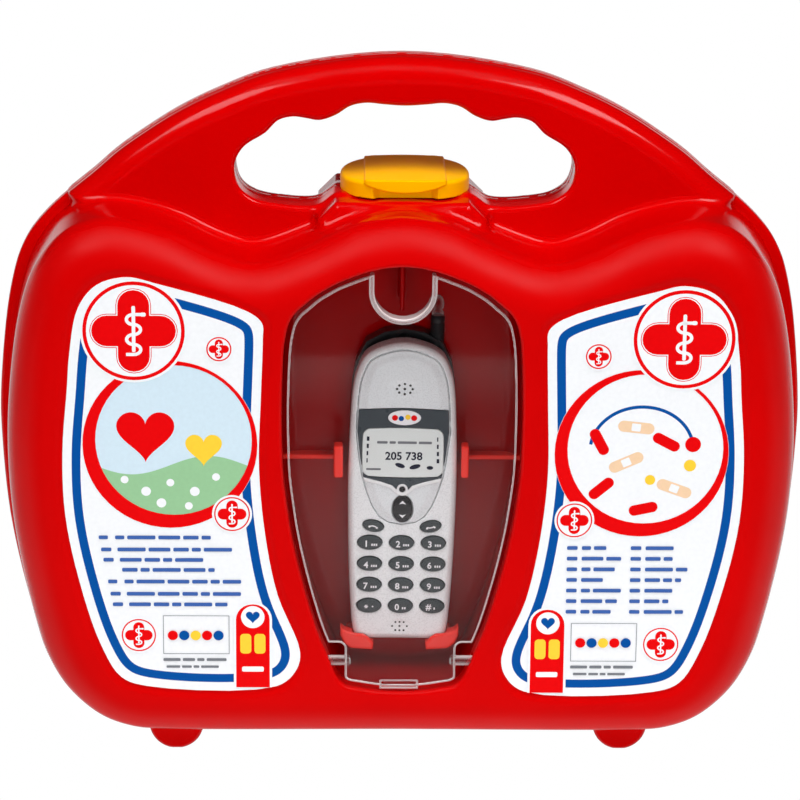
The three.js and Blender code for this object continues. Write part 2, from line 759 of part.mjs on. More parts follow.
const keyHeight = keypadShares.keyHeight * keypadSpace;
const keyWidth = widthShares.key * phoneWidth;
const keyPitchX = widthShares.keyPitch * phoneWidth;
const keyPitchZ = keypadShares.keyPitch * keypadSpace;
const keyBottomRow = keypadFoot + keyHeight / 2;
const callKeyWidth = widthShares.callKey * phoneWidth;
const callKeyOffsetX = widthShares.callKeyOffset * phoneWidth;
const callKeyHeight = keypadShares.callKeyHeight * keypadSpace;
const callKeyRise = keypadFoot + keypadShares.callKeyRise * keypadSpace;
const navKeyWidth = widthShares.navKey * phoneWidth;
const navKeyHeight = keypadShares.navKeyHeight * keypadSpace;
const navKeyRise = keypadTop - navKeyHeight / 2;
const coverHalfWidth = cellRadius + coverMargin + fitGap;
const faceplateBack = faceplateThickness - faceplateStand;
const recessFloor = faceplateBack + halfGap;

const numberKeys = [
  ['star', -1, 0], ['0', 0, 0], ['hash', 1, 0],
  ['7', -1, 1], ['8', 0, 1], ['9', 1, 1],
  ['4', -1, 2], ['5', 0, 2], ['6', 1, 2],
  ['1', -1, 3], ['2', 0, 3], ['3', 1, 3],
].map(([label, column, row]) => ({
  name: `key_${label}`,
  x: column * keyPitchX,
  z: keyBottomRow + row * keyPitchZ,
  width: keyWidth,
  height: keyHeight,
  turn: 0,
}));
const callKeys = [['key_call', -1], ['key_end', 1]].map(([name, side]) => ({
  name,
  x: side * callKeyOffsetX,
  z: callKeyRise,
  width: callKeyWidth,
  height: callKeyHeight,
  turn: side * callKeyTurn,
}));
const navKey = {
  name: 'key_nav', x: 0, z: navKeyRise, width: navKeyWidth, height: navKeyHeight, turn: 0,
};
const keys = [...numberKeys, ...callKeys, navKey];

function keyLoop({ width, height, turn }, grow, x, z) {
  return ellipse(width / 2 + grow, height / 2 + grow, x, z, keySides, turn);
}

function keySolid(key) {
  return joined(
    prismY(keyLoop(key, 0, 0, 0), -keyStand, keyBase + keyFlangeThickness / 2),
    prismY(keyLoop(key, keyFlange, 0, 0), keyBase, keyBase + keyFlangeThickness),
  );
}

function phoneHalf(front) {
  const whole = prismY(phoneLoop, 0, phoneThickness, [], phoneEdge);
  const hollow = prismY(inset(phoneLoop, phoneWall), phoneWall, phoneThickness - phoneWall);
  const reach = phoneHeight;
  const space = front
    ? box(-reach, reach, -reach, phoneFrontDepth - halfGap, -reach, 2 * reach)
    : box(-reach, reach, phoneFrontDepth + halfGap, reach, -reach, 2 * reach);
  return cut(whole, hollow).intersect(space);
}

function facePlateLoop(grow) {
  const tail = faceplateTailShares.map(([x, z]) => [x * (phoneWidth / 2 + grow), z * phoneHeight - grow]);
  const mirrored = tail.slice(0, -1).map(([x, z]) => [-x, z]).reverse();
  const lower = [...tail, ...mirrored].map(([x, z]) => new THREE.Vector2(x, z)).reverse();
  const head = phoneHeight + phoneWidth;
  return [new THREE.Vector2(phoneWidth, head), new THREE.Vector2(-phoneWidth, head), ...lower];
}

function facePlateRegion(grow, y0, y1) {
  return prismY(inset(phoneLoop, faceplateInset - grow), y0, y1).intersect(
    prismY(facePlateLoop(grow), y0 - cutOverrun, y1 + cutOverrun),
  );
}

function bezelLoop(grow) {
  const side = phoneWidth / 2;
  const foot = faceShares.bezelFoot * phoneHeight - grow;
  const head = faceShares.bezelTop * phoneHeight + grow;
  return [
    [side, head], [0, head + bezelCrown], [-side, head],
    [-side, foot], [-bezelFootHalfWidth, foot], [0, bezelTip - grow],
    [bezelFootHalfWidth, foot], [side, foot],
  ].map(([x, z]) => new THREE.Vector2(x, z));
}

function screenLoop(grow) {
  const half = widthShares.screen * phoneWidth / 2 + grow;
  const low = faceShares.screenBottom * phoneHeight - grow;
  const high = faceShares.screenTop * phoneHeight + grow;
  return [
    [half - screenCorner, high], [-half + screenCorner, high], [-half, high - screenCorner],
    [-half, low + screenCorner], [-half + screenCorner, low], [half - screenCorner, low],
    [half, low + screenCorner], [half, high - screenCorner],
  ].map(([x, z]) => new THREE.Vector2(x, z));
}

function phoneFrontHousing() {
  const recess = facePlateRegion(halfGap, -cutOverrun, recessFloor);
  const apertures = keys.map((key) => prismY(
    keyLoop(key, halfGap, key.x, key.z), -cutOverrun, phoneWall + cutOverrun,
  ));
  const bosses = Object.values(screwHeights).map((z) => cut(
    rodY(bossRadius, (recessFloor + phoneWall) / 2, phoneFrontDepth - halfGap, 0, z),
    rodY(screwRadius + fitGap, phoneWall, phoneFrontDepth, 0, z, smallRodSides),
  ));
  return joined(cut(phoneHalf(true), recess, ...apertures), ...bosses);
}

function phoneRearHousing() {
  const recess = box(
    -coverHalfWidth, coverHalfWidth, coverFront - fitGap, coverBack + cutOverrun,
    cellRise - coverHalfWidth, cellsTop + coverHalfWidth,
  );
  const cellOpening = box(
    -cellRadius - fitGap, cellRadius + fitGap, coverFront - phoneWall - cutOverrun, coverBack,
    cellRise - cellRadius - fitGap, cellsTop + cellRadius + fitGap,
  );
  const antennaBore = rodZ(
    antennaRadius + fitGap, phoneHeight - antennaSeat - fitGap, phoneHeight + antennaStand,
    antennaOffsetX, antennaDepth,
  );
  const headFloor = phoneThickness - screwSink - screwHeadThickness;
  const bosses = Object.values(screwHeights).map((z) => rodY(
    bossRadius, phoneFrontDepth + halfGap, phoneThickness - phoneWall / 2, 0, z,
  ));
  const screwBores = Object.values(screwHeights).flatMap((z) => [
    rodY(screwRadius + fitGap, 0, phoneThickness + cutOverrun, 0, z, smallRodSides),
    rodY(screwHeadRadius + fitGap, headFloor - fitGap, phoneThickness + cutOverrun, 0, z),
  ]);
  const housing = cut(joined(phoneHalf(false), ...bosses), ...screwBores);
  return cut(housing, recess, cellOpening, antennaBore);
}

function phoneScrew(z) {
  const headFloor = phoneThickness - screwSink - screwHeadThickness;
  return joined(
    rodY(screwHeadRadius, headFloor, phoneThickness - screwSink, 0, z),
    rodY(screwRadius, phoneWall + fitGap, headFloor + screwHeadThickness / 2, 0, z, smallRodSides),
  );
}

function facePlate() {
  const seat = prismY(bezelLoop(halfGap), -cutOverrun, bezelSeat - faceplateStand);
  const navHole = prismY(
    keyLoop(navKey, fitGap, navKey.x, navKey.z), -cutOverrun, faceplateBack + cutOverrun,
  );
  const plate = facePlateRegion(-halfGap, -faceplateStand, faceplateBack);
  return cut(plate, seat, navHole, gemRod(halfGap, -cutOverrun, faceplateBack + cutOverrun));
}

function phoneBezel() {
  const back = bezelThickness - faceplateStand;
  const plate = prismY(bezelLoop(-halfGap), -faceplateStand, back).intersect(
    facePlateRegion(-halfGap, -faceplateStand - cutOverrun, back + cutOverrun),
  );
  const hole = prismY(screenLoop(halfGap), -cutOverrun, back + cutOverrun);
  return cut(plate, hole, gemRod(halfGap, -cutOverrun, back + cutOverrun));
}

function gemRod(grow, y0, y1) {
  return rodY(gemRadius + grow, y0, y1, 0, gemRise, smallRodSides);
}

// A sheet inside the phone, kept clear of the housing's walls
function sheetInPhone(halfWidth, y0, y1, z0, z1) {
  return prismY(inset(phoneLoop, phoneWall + fitGap), y0, y1).intersect(
    box(-halfWidth, halfWidth, y0 - cutOverrun, y1 + cutOverrun, z0, z1),
  );
}

function phoneScreen() {
  return prismY(
    screenLoop(-halfGap), screenRecess - faceplateStand, bezelThickness - faceplateStand,
  );
}

function phoneMat() {
  const half = keyPitchX + keyWidth / 2 + keyFlange;
  return sheetInPhone(
    half, matFront, matBack, keyBottomRow - keyHeight / 2 - matMargin,
    navKeyRise + navKeyHeight / 2 + matMargin,
  );
}

function phoneBoard() {
  const half = phoneWidth / 2 - boardMargin;
  return sheetInPhone(half, boardFront, boardFront + boardThickness, boardBottom, boardTop);
}

function antennaTip() {
  const base = phoneHeight + antennaStand + halfGap;
  const top = phoneHeight + antennaStand + antennaTipHeight;
  const profile = [
    [0, base], [antennaTipRadius, base], [antennaTipRadius, top - antennaTipRadius],
    [antennaTipRadius * Math.SQRT1_2, top - antennaTipRadius * (1 - Math.SQRT1_2)], [0, top],
  ].map(([r, z]) => new THREE.Vector2(r, z));
  const geometry = new THREE.LatheGeometry(profile, smallRodSides);
  geometry.rotateX(Math.PI / 2);
  geometry.translate(antennaOffsetX, antennaDepth, 0);
  return toSolid(geometry);
}

// Scene graph

const finishes = {
  red: { color: 0xd00707, roughness: 0.32, metalness: 0 },
  yellow: { color: 0xf9ae08, roughness: 0.35, metalness: 0 },
  clear: { color: 0xe6dcdc, roughness: 0.05, metalness: 0, transparent: true, opacity: 0.35 },
  paper: { color: 0xf0f2f5, roughness: 0.55, metalness: 0 },
  silver: { color: 0xc6cacb, roughness: 0.35, metalness: 0.4 },
  black: { color: 0x1b1c1e, roughness: 0.4, metalness: 0 },
  grey: { color: 0x454e50, roughness: 0.4, metalness: 0 },
  screen: { color: 0xd3d9dc, roughness: 0.15, metalness: 0 },
  rubber: { color: 0x3c4244, roughness: 0.8, metalness: 0 },
  board: { color: 0x2f6b3c, roughness: 0.5, metalness: 0 },
  steel: { color: 0xa9adb0, roughness: 0.3, metalness: 1 },
};

function addPiece(group, name, solid, finish, origin = new THREE.Vector3()) {
  const geometry = toGeometry(solid);
  geometry.translate(-origin.x, -origin.y, -origin.z);
  const mesh = new THREE.Mesh(geometry, new THREE.MeshStandardMaterial(finishes[finish]));
  mesh.name = name;
  mesh.position.copy(origin);
  group.add(mesh);
}

const doctorCase = new THREE.Group();

addPiece(doctorCase, 'rear_shell', rearShell(), 'red');
addPiece(doctorCase, 'front_shell', frontShell(), 'red');
addPiece(doctorCase, 'phone_tray', phoneTray(), 'red');
for (const [name, side] of [['label_left', -1], ['label_right', 1]]) {
  addPiece(doctorCase, name, label(side), 'paper');
}
for (const [name, side] of [['hinge_pin_left', -1], ['hinge_pin_right', 1]]) {
  const centre = new THREE.Vector3(side * hingeOffsetX, 0, hingeZ);
  const half = knuckleWidth + knuckleWidth / 2 - halfGap;
  const pin = rodX(hingePinRadius, centre.x - half, centre.x + half, 0, hingeZ);
  addPiece(doctorCase, name, pin, 'steel', centre);
}

const latchPivot = new THREE.Vector3(0, latchPivotY, latchPivotZ);
const latchPinHalf = latchBarrelWidth / 2 + fitGap + earWidth;
addPiece(doctorCase, 'latch', latchSolid(), 'yellow', latchPivot);
addPiece(
  doctorCase, 'latch_pin',
  rodX(latchPinRadius, -latchPinHalf, latchPinHalf, latchPivotY, latchPivotZ, smallRodSides),
  'steel', latchPivot,
);
addPiece(
  doctorCase, 'window_door', windowDoor(), 'clear', new THREE.Vector3(0, doorHingeY, doorHingeZ),
);

const phone = new THREE.Group();
phone.position.set(0, phoneFront, phoneFoot);
phone.rotation.y = phoneLean;
doctorCase.add(phone);

addPiece(phone, 'phone_front_housing', phoneFrontHousing(), 'silver');
addPiece(phone, 'phone_rear_housing', phoneRearHousing(), 'black');
addPiece(phone, 'phone_faceplate', facePlate(), 'silver');
addPiece(phone, 'phone_bezel', phoneBezel(), 'grey');
addPiece(phone, 'phone_screen', phoneScreen(), 'screen');
addPiece(phone, 'phone_gem', gemRod(0, -gemStand, faceplateBack), 'black');
addPiece(phone, 'phone_keypad_mat', phoneMat(), 'rubber');
addPiece(phone, 'phone_circuit_board', phoneBoard(), 'board');
addPiece(
  phone, 'phone_speaker',
  rodY(speakerRadius, phoneWall + fitGap, phoneWall + fitGap + speakerThickness, 0, speakerRise),
  'black',
);
for (let cell = 0; cell < cellCount; cell += 1) {
  const back = coverFront - fitGap;
  const z = cellRise + cell * cellPitch;
  addPiece(
    phone, `phone_cell_${cell + 1}`, rodY(cellRadius, back - cellThickness, back, 0, z), 'steel',
  );
}
addPiece(
  phone, 'phone_battery_cover',
  box(
    -coverHalfWidth + fitGap, coverHalfWidth - fitGap, coverFront, coverBack,
    cellRise - coverHalfWidth + fitGap, cellsTop + coverHalfWidth - fitGap,
  ),
  'black',
);
for (const [place, z] of Object.entries(screwHeights)) {
  addPiece(phone, `phone_screw_${place}`, phoneScrew(z), 'steel');
}
addPiece(
  phone, 'phone_antenna',
  rodZ(
    antennaRadius, phoneHeight - antennaSeat, phoneHeight + antennaStand, antennaOffsetX, antennaDepth,
  ),
  'black',
);
addPiece(phone, 'phone_antenna_tip', antennaTip(), 'clear');
for (const key of keys) {
  const button = new THREE.Group();
  button.position.set(key.x, 0, key.z);
  phone.add(button);
  addPiece(button, key.name, keySolid(key), key.name === 'key_nav' ? 'black' : 'grey');
}

export default doctorCase;
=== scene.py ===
# Toy doctor case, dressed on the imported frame. Lengths are millimetres until a mesh is made,
# X to the right, Z up, front towards -Y. The two half shells meet on the plane Y = 0.

import functools
import math

import bpy
from mathutils import Matrix, Vector
import numpy as np


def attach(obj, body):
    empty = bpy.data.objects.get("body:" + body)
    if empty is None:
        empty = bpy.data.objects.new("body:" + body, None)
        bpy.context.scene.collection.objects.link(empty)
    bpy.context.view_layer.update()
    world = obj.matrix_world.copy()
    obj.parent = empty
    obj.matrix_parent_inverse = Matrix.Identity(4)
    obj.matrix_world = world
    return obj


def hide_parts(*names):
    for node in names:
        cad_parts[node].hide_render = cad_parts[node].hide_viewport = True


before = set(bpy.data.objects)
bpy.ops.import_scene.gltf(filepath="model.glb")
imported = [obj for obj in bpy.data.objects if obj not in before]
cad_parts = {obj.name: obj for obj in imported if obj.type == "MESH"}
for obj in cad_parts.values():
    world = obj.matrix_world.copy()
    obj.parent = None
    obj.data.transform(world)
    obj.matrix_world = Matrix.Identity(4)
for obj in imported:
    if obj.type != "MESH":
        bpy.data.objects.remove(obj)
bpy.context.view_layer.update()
MM = 0.001

# Sizes shared with the solids
HALF_GAP = 0.06
HALF_DEPTH = 46.0
SHELL_WALL = 2.4
FACE_FILLET = 14.0
FACE_DRAFT = 0.06
RIM_HALF_WIDTH = 135.2
BODY_HALF_WIDTH = 132.0
RIM_FLOOR = 5.2
CASE_TOP = 237.9
BODY_FLOOR = 10.2
SEAT_TOP = 192.5
SEAT_UNDERSIDE = 176.5
SEAT_HALF_WIDTH = 28
HANDLE_DEPTH = 12.5
HANDLE_WALL = 2.6
POCKET_DEPTH = 9.9
HOLE_HALF_WIDTH = 56.2
HOLE_FOOT = 189.1
HOLE_HEIGHT = 34.5
HOLE_SHIFT = 0.7
HINGE_PIVOT = (0.0, 4.5)
HINGE_CENTRE = 28
KNUCKLE_HALF = 3.85
WINDOW_HALF_WIDTH = 39.5
WINDOW_BASE = 29.8
WINDOW_TOP = 176.6
DOOR_OUTER = -44.0
DOOR_INNER = -42.2
DOOR_PIVOT = (-43.1, 40.5)
SLOT_BOTTOM = 158.8
SLOT_HALF = 9.4
TRAY_MOUTH = -37.7
TRAY_BACK = -7.0
PHONE_FRONT = -25.0
PHONE_FOOT = 41.0
PHONE_LEAN = math.radians(0.6)
PHONE_HALF_WIDTH = 18.2
PHONE_HEIGHT = 107.0
PHONE_FACE_HEIGHT = 104.2
LATCH_PIVOT = (17.5, 195.0)
LATCH_BOTTOM = 193.1
LATCH_SHIFT = 0.9
LABEL_INNER = 34.7
LABEL_OUTER = 112.04
LABEL_BACK = -45.45
LABEL_FRONT = -45.8
LABEL_SINK = 0.6

# Outlines, as shares of the half width and of the height, down the right side
RIM_SHARES = [
    (0, 1), (0.318, 0.976), (0.452, 0.947), (0.552, 0.918), (0.633, 0.888), (0.7, 0.86),
    (0.759, 0.83), (0.822, 0.8), (0.874, 0.772), (0.917, 0.742), (0.944, 0.712), (0.96, 0.682),
    (0.98, 0.622), (1, 0.5), (1, 0.44), (0.984, 0.317), (0.943, 0.193), (0.912, 0.132),
    (0.86, 0.072), (0.776, 0.025), (0.68, 0.004), (0.59, 0), (0, 0),
]
BODY_SHARES = [
    (0, 1), (0.129, 0.984), (0.25, 0.943), (0.372, 0.916), (0.463, 0.935), (0.546, 0.965),
    (0.637, 0.987), (0.736, 0.996), (0.812, 0.982), (0.869, 0.954), (0.914, 0.913),
    (0.945, 0.867), (0.975, 0.78), (1, 0.617), (1, 0.498), (0.985, 0.384), (0.942, 0.226),
    (0.913, 0.155), (0.861, 0.0875), (0.774, 0.03), (0.683, 0.005), (0.592, 0), (0, 0),
]
HOLE_SHARES = [
    (0, 0.973), (0.125, 0.985), (0.228, 0.999), (0.32, 0.968), (0.409, 0.878), (0.502, 0.829),
    (0.582, 0.848), (0.657, 0.862), (0.743, 0.825), (0.818, 0.705), (0.94, 0.575), (0.99, 0.45),
    (1, 0.34), (0.968, 0.165), (0.885, 0.06), (0.765, 0.012), (0.507, 0), (0.392, 0.099),
    (0, 0.099),
]
WINDOW_SHARES = [
    (0, 1), (0.258, 0.99), (0.43, 0.974), (0.552, 0.96), (0.638, 0.947), (0.724, 0.932),
    (0.81, 0.912), (0.88, 0.895), (0.934, 0.872), (0.965, 0.84), (0.982, 0.805), (0.995, 0.734),
    (1, 0.662), (0.997, 0.591), (0.987, 0.52), (0.957, 0.449), (0.916, 0.376), (0.833, 0.274),
    (0.706, 0.153), (0.602, 0.082), (0.527, 0.034), (0.46, 0.016), (0.344, 0.009), (0.172, 0.002),
    (0, 0),
]
PHONE_SHARES = [
    (0, 1), (0.36, 0.989), (0.7, 0.957), (0.879, 0.893), (0.942, 0.828), (0.97, 0.745),
    (0.991, 0.64), (1, 0.51), (0.985, 0.37), (0.96, 0.236), (0.917, 0.103), (0.887, 0.05),
    (0.84, 0.017), (0.74, 0.003), (0.6, 0), (0, 0),
]
LABEL_SHARES = [
    (0.714, 1), (0.597, 0.986), (0.208, 0.919), (0.149, 0.891), (0.147, 0.853), (0.158, 0.712),
    (0.169, 0.544), (0.145, 0.376), (0.095, 0.229), (0, 0.085), (0.023, 0.036), (0.104, 0),
    (0.662, 0), (0.773, 0.023), (0.857, 0.104), (0.943, 0.264), (0.995, 0.425), (1, 0.579),
    (0.974, 0.734), (0.96, 0.818), (0.92, 0.926), (0.84, 0.981),
]
FACEPLATE_TAIL_SHARES = [
    (1, 0.78), (0.87, 0.7), (0.8, 0.6), (0.742, 0.541), (0.715, 0.528), (0.65, 0.49),
    (0.55, 0.446), (0.42, 0.412), (0.25, 0.393), (0, 0.386),
]


# Outlines

def spline(points, per):
    """A closed centripetal spline through the points, with a number of steps between two."""
    points = [np.array(p, float) for p in points]
    count = len(points)
    out = []
    for i in range(count):
        p0, p1, p2, p3 = (points[(i + k) % count] for k in (-1, 0, 1, 2))
        d0, d1, d2 = (
            max(np.linalg.norm(b - a) ** 0.5, 1e-4) for a, b in ((p0, p1), (p1, p2), (p2, p3))
        )
        t1 = ((p1 - p0) / d0 - (p2 - p0) / (d0 + d1) + (p2 - p1) / d1) * d1
        t2 = ((p2 - p1) / d1 - (p3 - p1) / (d1 + d2) + (p3 - p2) / d2) * d1
        for step in range(per):
            t = step / per
            out.append(
                p1 + t1 * t + (3 * (p2 - p1) - 2 * t1 - t2) * t ** 2
                + (2 * (p1 - p2) + t1 + t2) * t ** 3
            )
    return np.array(out)


def mirrored(shares, half_width, base, height, per=6):
    right = [(x * half_width, base + z * height) for x, z in shares]
    left = [(-x, z) for x, z in right[1:-1]][::-1]
    return spline((right + left)[::-1], per)


def polygon_distance(loop, x, z):
    nearest = np.full(np.broadcast(x, z).shape, np.inf)
    inside = np.zeros(nearest.shape, bool)
    for (ax, az), (bx, bz) in zip(loop, np.roll(loop, -1, 0)):
        ex, ez = bx - ax, bz - az
        wx, wz = x - ax, z - az
        t = np.clip((wx * ex + wz * ez) / max(ex * ex + ez * ez, 1e-12), 0, 1)
        nearest = np.minimum(nearest, (wx - ex * t) ** 2 + (wz - ez * t) ** 2)
        if az != bz:
            inside ^= ((az > z) != (bz > z)) & (x < ex * (z - az) / ez + ax)
    return np.where(inside, -1, 1) * np.sqrt(nearest)


class Outline:
    """Signed distance from a loop in X and Z, negative inside, kept on a fine lattice."""

    def __init__(self, loop, cell=1.0, margin=12.0):
        self.loop = np.asarray(loop, float)
        self.cell = cell
        self.low = self.loop.min(0) - margin
        size = np.ceil((self.loop.max(0) + margin - self.low) / cell).astype(int) + 1
        x = self.low[0] + cell * np.arange(size[0])[:, None]
        z = self.low[1] + cell * np.arange(size[1])[None, :]
        self.values = polygon_distance(self.loop, x, z)

    def _weights(self, value, axis):
        place = (value - self.low[axis]) / self.cell
        first = np.clip(np.floor(place).astype(int), 1, self.values.shape[axis] - 3)
        t = np.clip(place - first, -1.0, 2.0)
        weights = (
            ((-0.5 * t + 1.0) * t - 0.5) * t,
            (1.5 * t - 2.5) * t * t + 1.0,
            ((-1.5 * t + 2.0) * t + 0.5) * t,
            (0.5 * t - 0.5) * t * t,
        )
        return first, weights

    def __call__(self, x, z):
        column, across = self._weights(np.asarray(x, float), 0)
        row, along = self._weights(np.asarray(z, float), 1)
        total = 0.0
        for i in range(4):
            for j in range(4):
                total = total + across[i] * along[j] * self.values[column + i - 1, row + j - 1]
        return total


# Fields: negative inside a solid

def round_max(a, b, r):
    a, b = a + r, b + r
    return np.minimum(np.maximum(a, b), 0) + np.hypot(np.maximum(a, 0), np.maximum(b, 0)) - r


def round_min(a, b, r):
    return -round_max(-a, -b, r)


def most(*fields):
    """What lies in each of the solids."""
    return functools.reduce(np.maximum, fields)


def least(*fields):
    """What lies in any of the solids."""
    return functools.reduce(np.minimum, fields)


def slab(value, low, high):
    return np.maximum(low - value, value - high)


def block(x, y, z, low, high, edge=0.0):
    """A box with rounded edges."""
    parts = [slab(v, a, b) + edge for v, a, b in zip((x, y, z), low, high)]
    outside = np.sqrt(sum(np.maximum(p, 0) ** 2 for p in parts))
    return outside + np.minimum(most(*parts), 0) - edge


def ramp(value, low, high):
    t = np.clip((value - low) / (high - low), 0, 1)
    return t * t * (3 - 2 * t)


def surface(field, low, high, step, polish=2, split=None):
    """Points, quads and normals of the skin of a field, pulled onto the field. A split is a
    plane's Y and the field without the cut along that plane, and keeps the cut's edge crisp."""
    low = np.array(low, float) - step
    size = (np.ceil((np.array(high, float) + step - low) / step)).astype(int) + 1
    axes = [low[k] + step * np.arange(size[k]) for k in range(3)]
    value = np.empty(tuple(size), np.float32)
    for start in range(0, size[0], 40):
        part = np.ix_(axes[0][start:start + 40], axes[1], axes[2])
        value[start:start + 40] = field(*part)
    inside = value < 0
    cells = size - 1
    corners_inside = np.zeros(tuple(cells), np.uint8)
    for corner in np.ndindex(2, 2, 2):
        corners_inside += inside[tuple(slice(c, c + n) for c, n in zip(corner, cells))]
    active = (corners_inside > 0) & (corners_inside < 8)
    total = int(active.sum())
    index = np.full(tuple(cells), -1, np.int64)
    index[active] = np.arange(total)
    points = np.zeros((total, 3))
    weight = np.zeros(total)
    quads = []
    for axis in range(3):
        first = [slice(None)] * 3
        second = [slice(None)] * 3
        first[axis], second[axis] = slice(0, -1), slice(1, None)
        cross = inside[tuple(first)] != inside[tuple(second)]
        where = np.argwhere(cross)
        v0 = value[tuple(first)][cross].astype(float)
        v1 = value[tuple(second)][cross].astype(float)
        crossing = low + step * where
        crossing[:, axis] += step * v0 / (v0 - v1)
        u, v = (axis + 1) % 3, (axis + 2) % 3
        around = []
        for du, dv in ((-1, -1), (0, -1), (0, 0), (-1, 0)):
            cell = where.copy()
            cell[:, u] += du
            cell[:, v] += dv
            good = (cell >= 0).all(1) & (cell < cells).all(1)
            found = np.where(good, index[tuple(np.clip(cell, 0, cells - 1).T)], -1)
            used = found >= 0
            for k in range(3):
                points[:, k] += np.bincount(found[used], crossing[used, k], total)
            weight += np.bincount(found[used], minlength=total)
            around.append(found)
        quad = np.stack(around, 1)
        quad[v0 >= 0] = quad[v0 >= 0][:, ::-1]
        quads.append(quad[(quad >= 0).all(1)])
    points /= weight[:, None]
    reach = 0.15 * step

    def pull(p, slope, level, ease, furthest):
        move = slope * (-level / ((slope ** 2).sum(1) + ease))[:, None]
        length = np.maximum(np.linalg.norm(move, axis=1), 1e-9)
        p += move * np.minimum(1, furthest * step / length)[:, None]

    def gradient(p):
        out = np.empty_like(p)
        for k in range(3):
            ahead, behind = p.copy(), p.copy()
            ahead[:, k] += reach
            behind[:, k] -= reach
            out[:, k] = (field(*ahead.T) - field(*behind.T)) / (2 * reach)
        return out

    for _ in range(polish):
        pull(points, gradient(points), field(*points.T), 1e-6, 0.6)
    if split is not None:
        plane, whole = split
        close = 0.62 * step
        near = np.flatnonzero(np.abs(points[:, 1] - plane) < close)
        near = near[np.abs(whole(*points[near].T)) < close]
        edge = points[near]
        edge[:, 1] = plane
        for _ in range(3):
            level = whole(*edge.T)
            slope = np.zeros_like(edge)
            for k in (0, 2):
                ahead = edge.copy()
                ahead[:, k] += reach
                slope[:, k] = (whole(*ahead.T) - level) / reach
            pull(edge, slope, level, 1e-3, 0.5)
        points[near] = edge
    slope = gradient(points)
    normals = slope / np.maximum(np.linalg.norm(slope, axis=1), 1e-9)[:, None]
    return points, np.concatenate(quads), normals


# Meshes

def new_object(name, data):
    obj = bpy.data.objects.new(name, data)
    bpy.context.scene.collection.objects.link(obj)
    return obj


def to_object(name, points, faces, normals=None, smooth=True):
    mesh = bpy.data.meshes.new(name)
    points = np.asarray(points, float) * MM
    if isinstance(faces, np.ndarray):
        mesh.vertices.add(len(points))
        mesh.vertices.foreach_set("co", points.ravel())
        mesh.loops.add(faces.size)
        mesh.loops.foreach_set("vertex_index", faces.ravel().astype(np.int32))
        mesh.polygons.add(len(faces))
        sides = faces.shape[1]
        mesh.polygons.foreach_set("loop_start", np.arange(0, faces.size, sides, dtype=np.int32))
        mesh.update(calc_edges=True)
    else:
        mesh.from_pydata([tuple(p) for p in points], [], [tuple(f) for f in faces])
    mesh.validate()
    if smooth:
        mesh.polygons.foreach_set("use_smooth", [True] * len(mesh.polygons))
    if normals is not None and len(normals) == len(mesh.vertices):
        mesh.normals_split_custom_set_from_vertices(normals.tolist())
    return new_object(name, mesh)


def stacked(name, loops, smooth=True):
    """Loops of as many points, joined one to the next and closed at both ends."""
    count, points = len(loops[0]), np.concatenate(loops)
    faces = [tuple(range(count))[::-1]]
    for start in range(0, len(points) - count, count):
        for k in range(count):
            a, b = start + k, start + (k + 1) % count
            faces.append((a, b, b + count, a + count))
    faces.append(tuple(range(len(points) - count, len(points))))
    return to_object(name, points, faces, smooth=smooth)


def dress(obj, body, slot_name, *materials, stands_for=()):
    for material in materials:
        obj.data.materials.append(material)
    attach(obj, body)
    if stands_for:
        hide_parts(*stands_for)


def skin(name, field, low, high, step, **extra):
    return to_object(name, *surface(field, low, high, step, **extra))


def phone_place(points):
    """From the phone's own frame to the case's."""
    p = np.asarray(points, float)
    c, s = math.cos(PHONE_LEAN), math.sin(PHONE_LEAN)
    return np.stack([
        p[:, 0] * c + p[:, 2] * s, p[:, 1] + PHONE_FRONT, p[:, 2] * c - p[:, 0] * s + PHONE_FOOT,
    ], 1)


def phone_skin(name, field, low, high, step, **extra):
    points, faces, normals = surface(field, low, high, step, **extra)
    turned = phone_place(normals) - phone_place(np.zeros((1, 3)))
    return to_object(name, phone_place(points), faces, turned)


# Materials

def start_material(name):
    material = bpy.data.materials.new(name)
    material.use_nodes = True
    tree = material.node_tree
    tree.nodes.clear()
    output = tree.nodes.new("ShaderNodeOutputMaterial")
    shader = tree.nodes.new("ShaderNodeBsdfPrincipled")
    tree.links.new(shader.outputs[0], output.inputs[0])
    return material, tree, shader, output


def node(tree, kind, values=None, **settings):
    made = tree.nodes.new(kind)
    for key, value in settings.items():
        setattr(made, key, value)
    for key, value in (values or {}).items():
        if hasattr(value, "is_output"):
            tree.links.new(value, made.inputs[key])
        else:
            made.inputs[key].default_value = value
    return made


def calc(tree, operation, *values):
    return node(
        tree, "ShaderNodeMath", dict(enumerate(values)), operation=operation,
    ).outputs[0]


def part_of(tree, value, axis):
    return node(tree, "ShaderNodeSeparateXYZ", {"Vector": value}).outputs[axis]


def object_place(tree):
    return node(tree, "ShaderNodeTexCoord").outputs["Object"]


def facing_front(tree):
    """1 where the skin faces the front or the back, 0 where it faces sideways."""
    normal = node(tree, "ShaderNodeTexCoord").outputs["Normal"]
    return calc(tree, "ABSOLUTE", part_of(tree, normal, "Y"))


def noise(tree, scale, detail=3.0, roughness=0.5):
    return node(tree, "ShaderNodeTexNoise", {
        "Vector": object_place(tree), "Scale": scale, "Detail": detail, "Roughness": roughness,
    }).outputs["Fac"]


def spread(tree, value, low, high, start=0.3, end=0.7):
    return node(tree, "ShaderNodeMapRange", {
        "Value": value, "From Min": start, "From Max": end, "To Min": low, "To Max": high,
    }).outputs["Result"]


def noise_spread(tree, low, high, *settings):
    return spread(tree, noise(tree, *settings), low, high)


def mix_colour(tree, factor, a, b):
    return node(tree, "ShaderNodeMix", {0: factor, 6: a, 7: b}, data_type="RGBA").outputs[2]


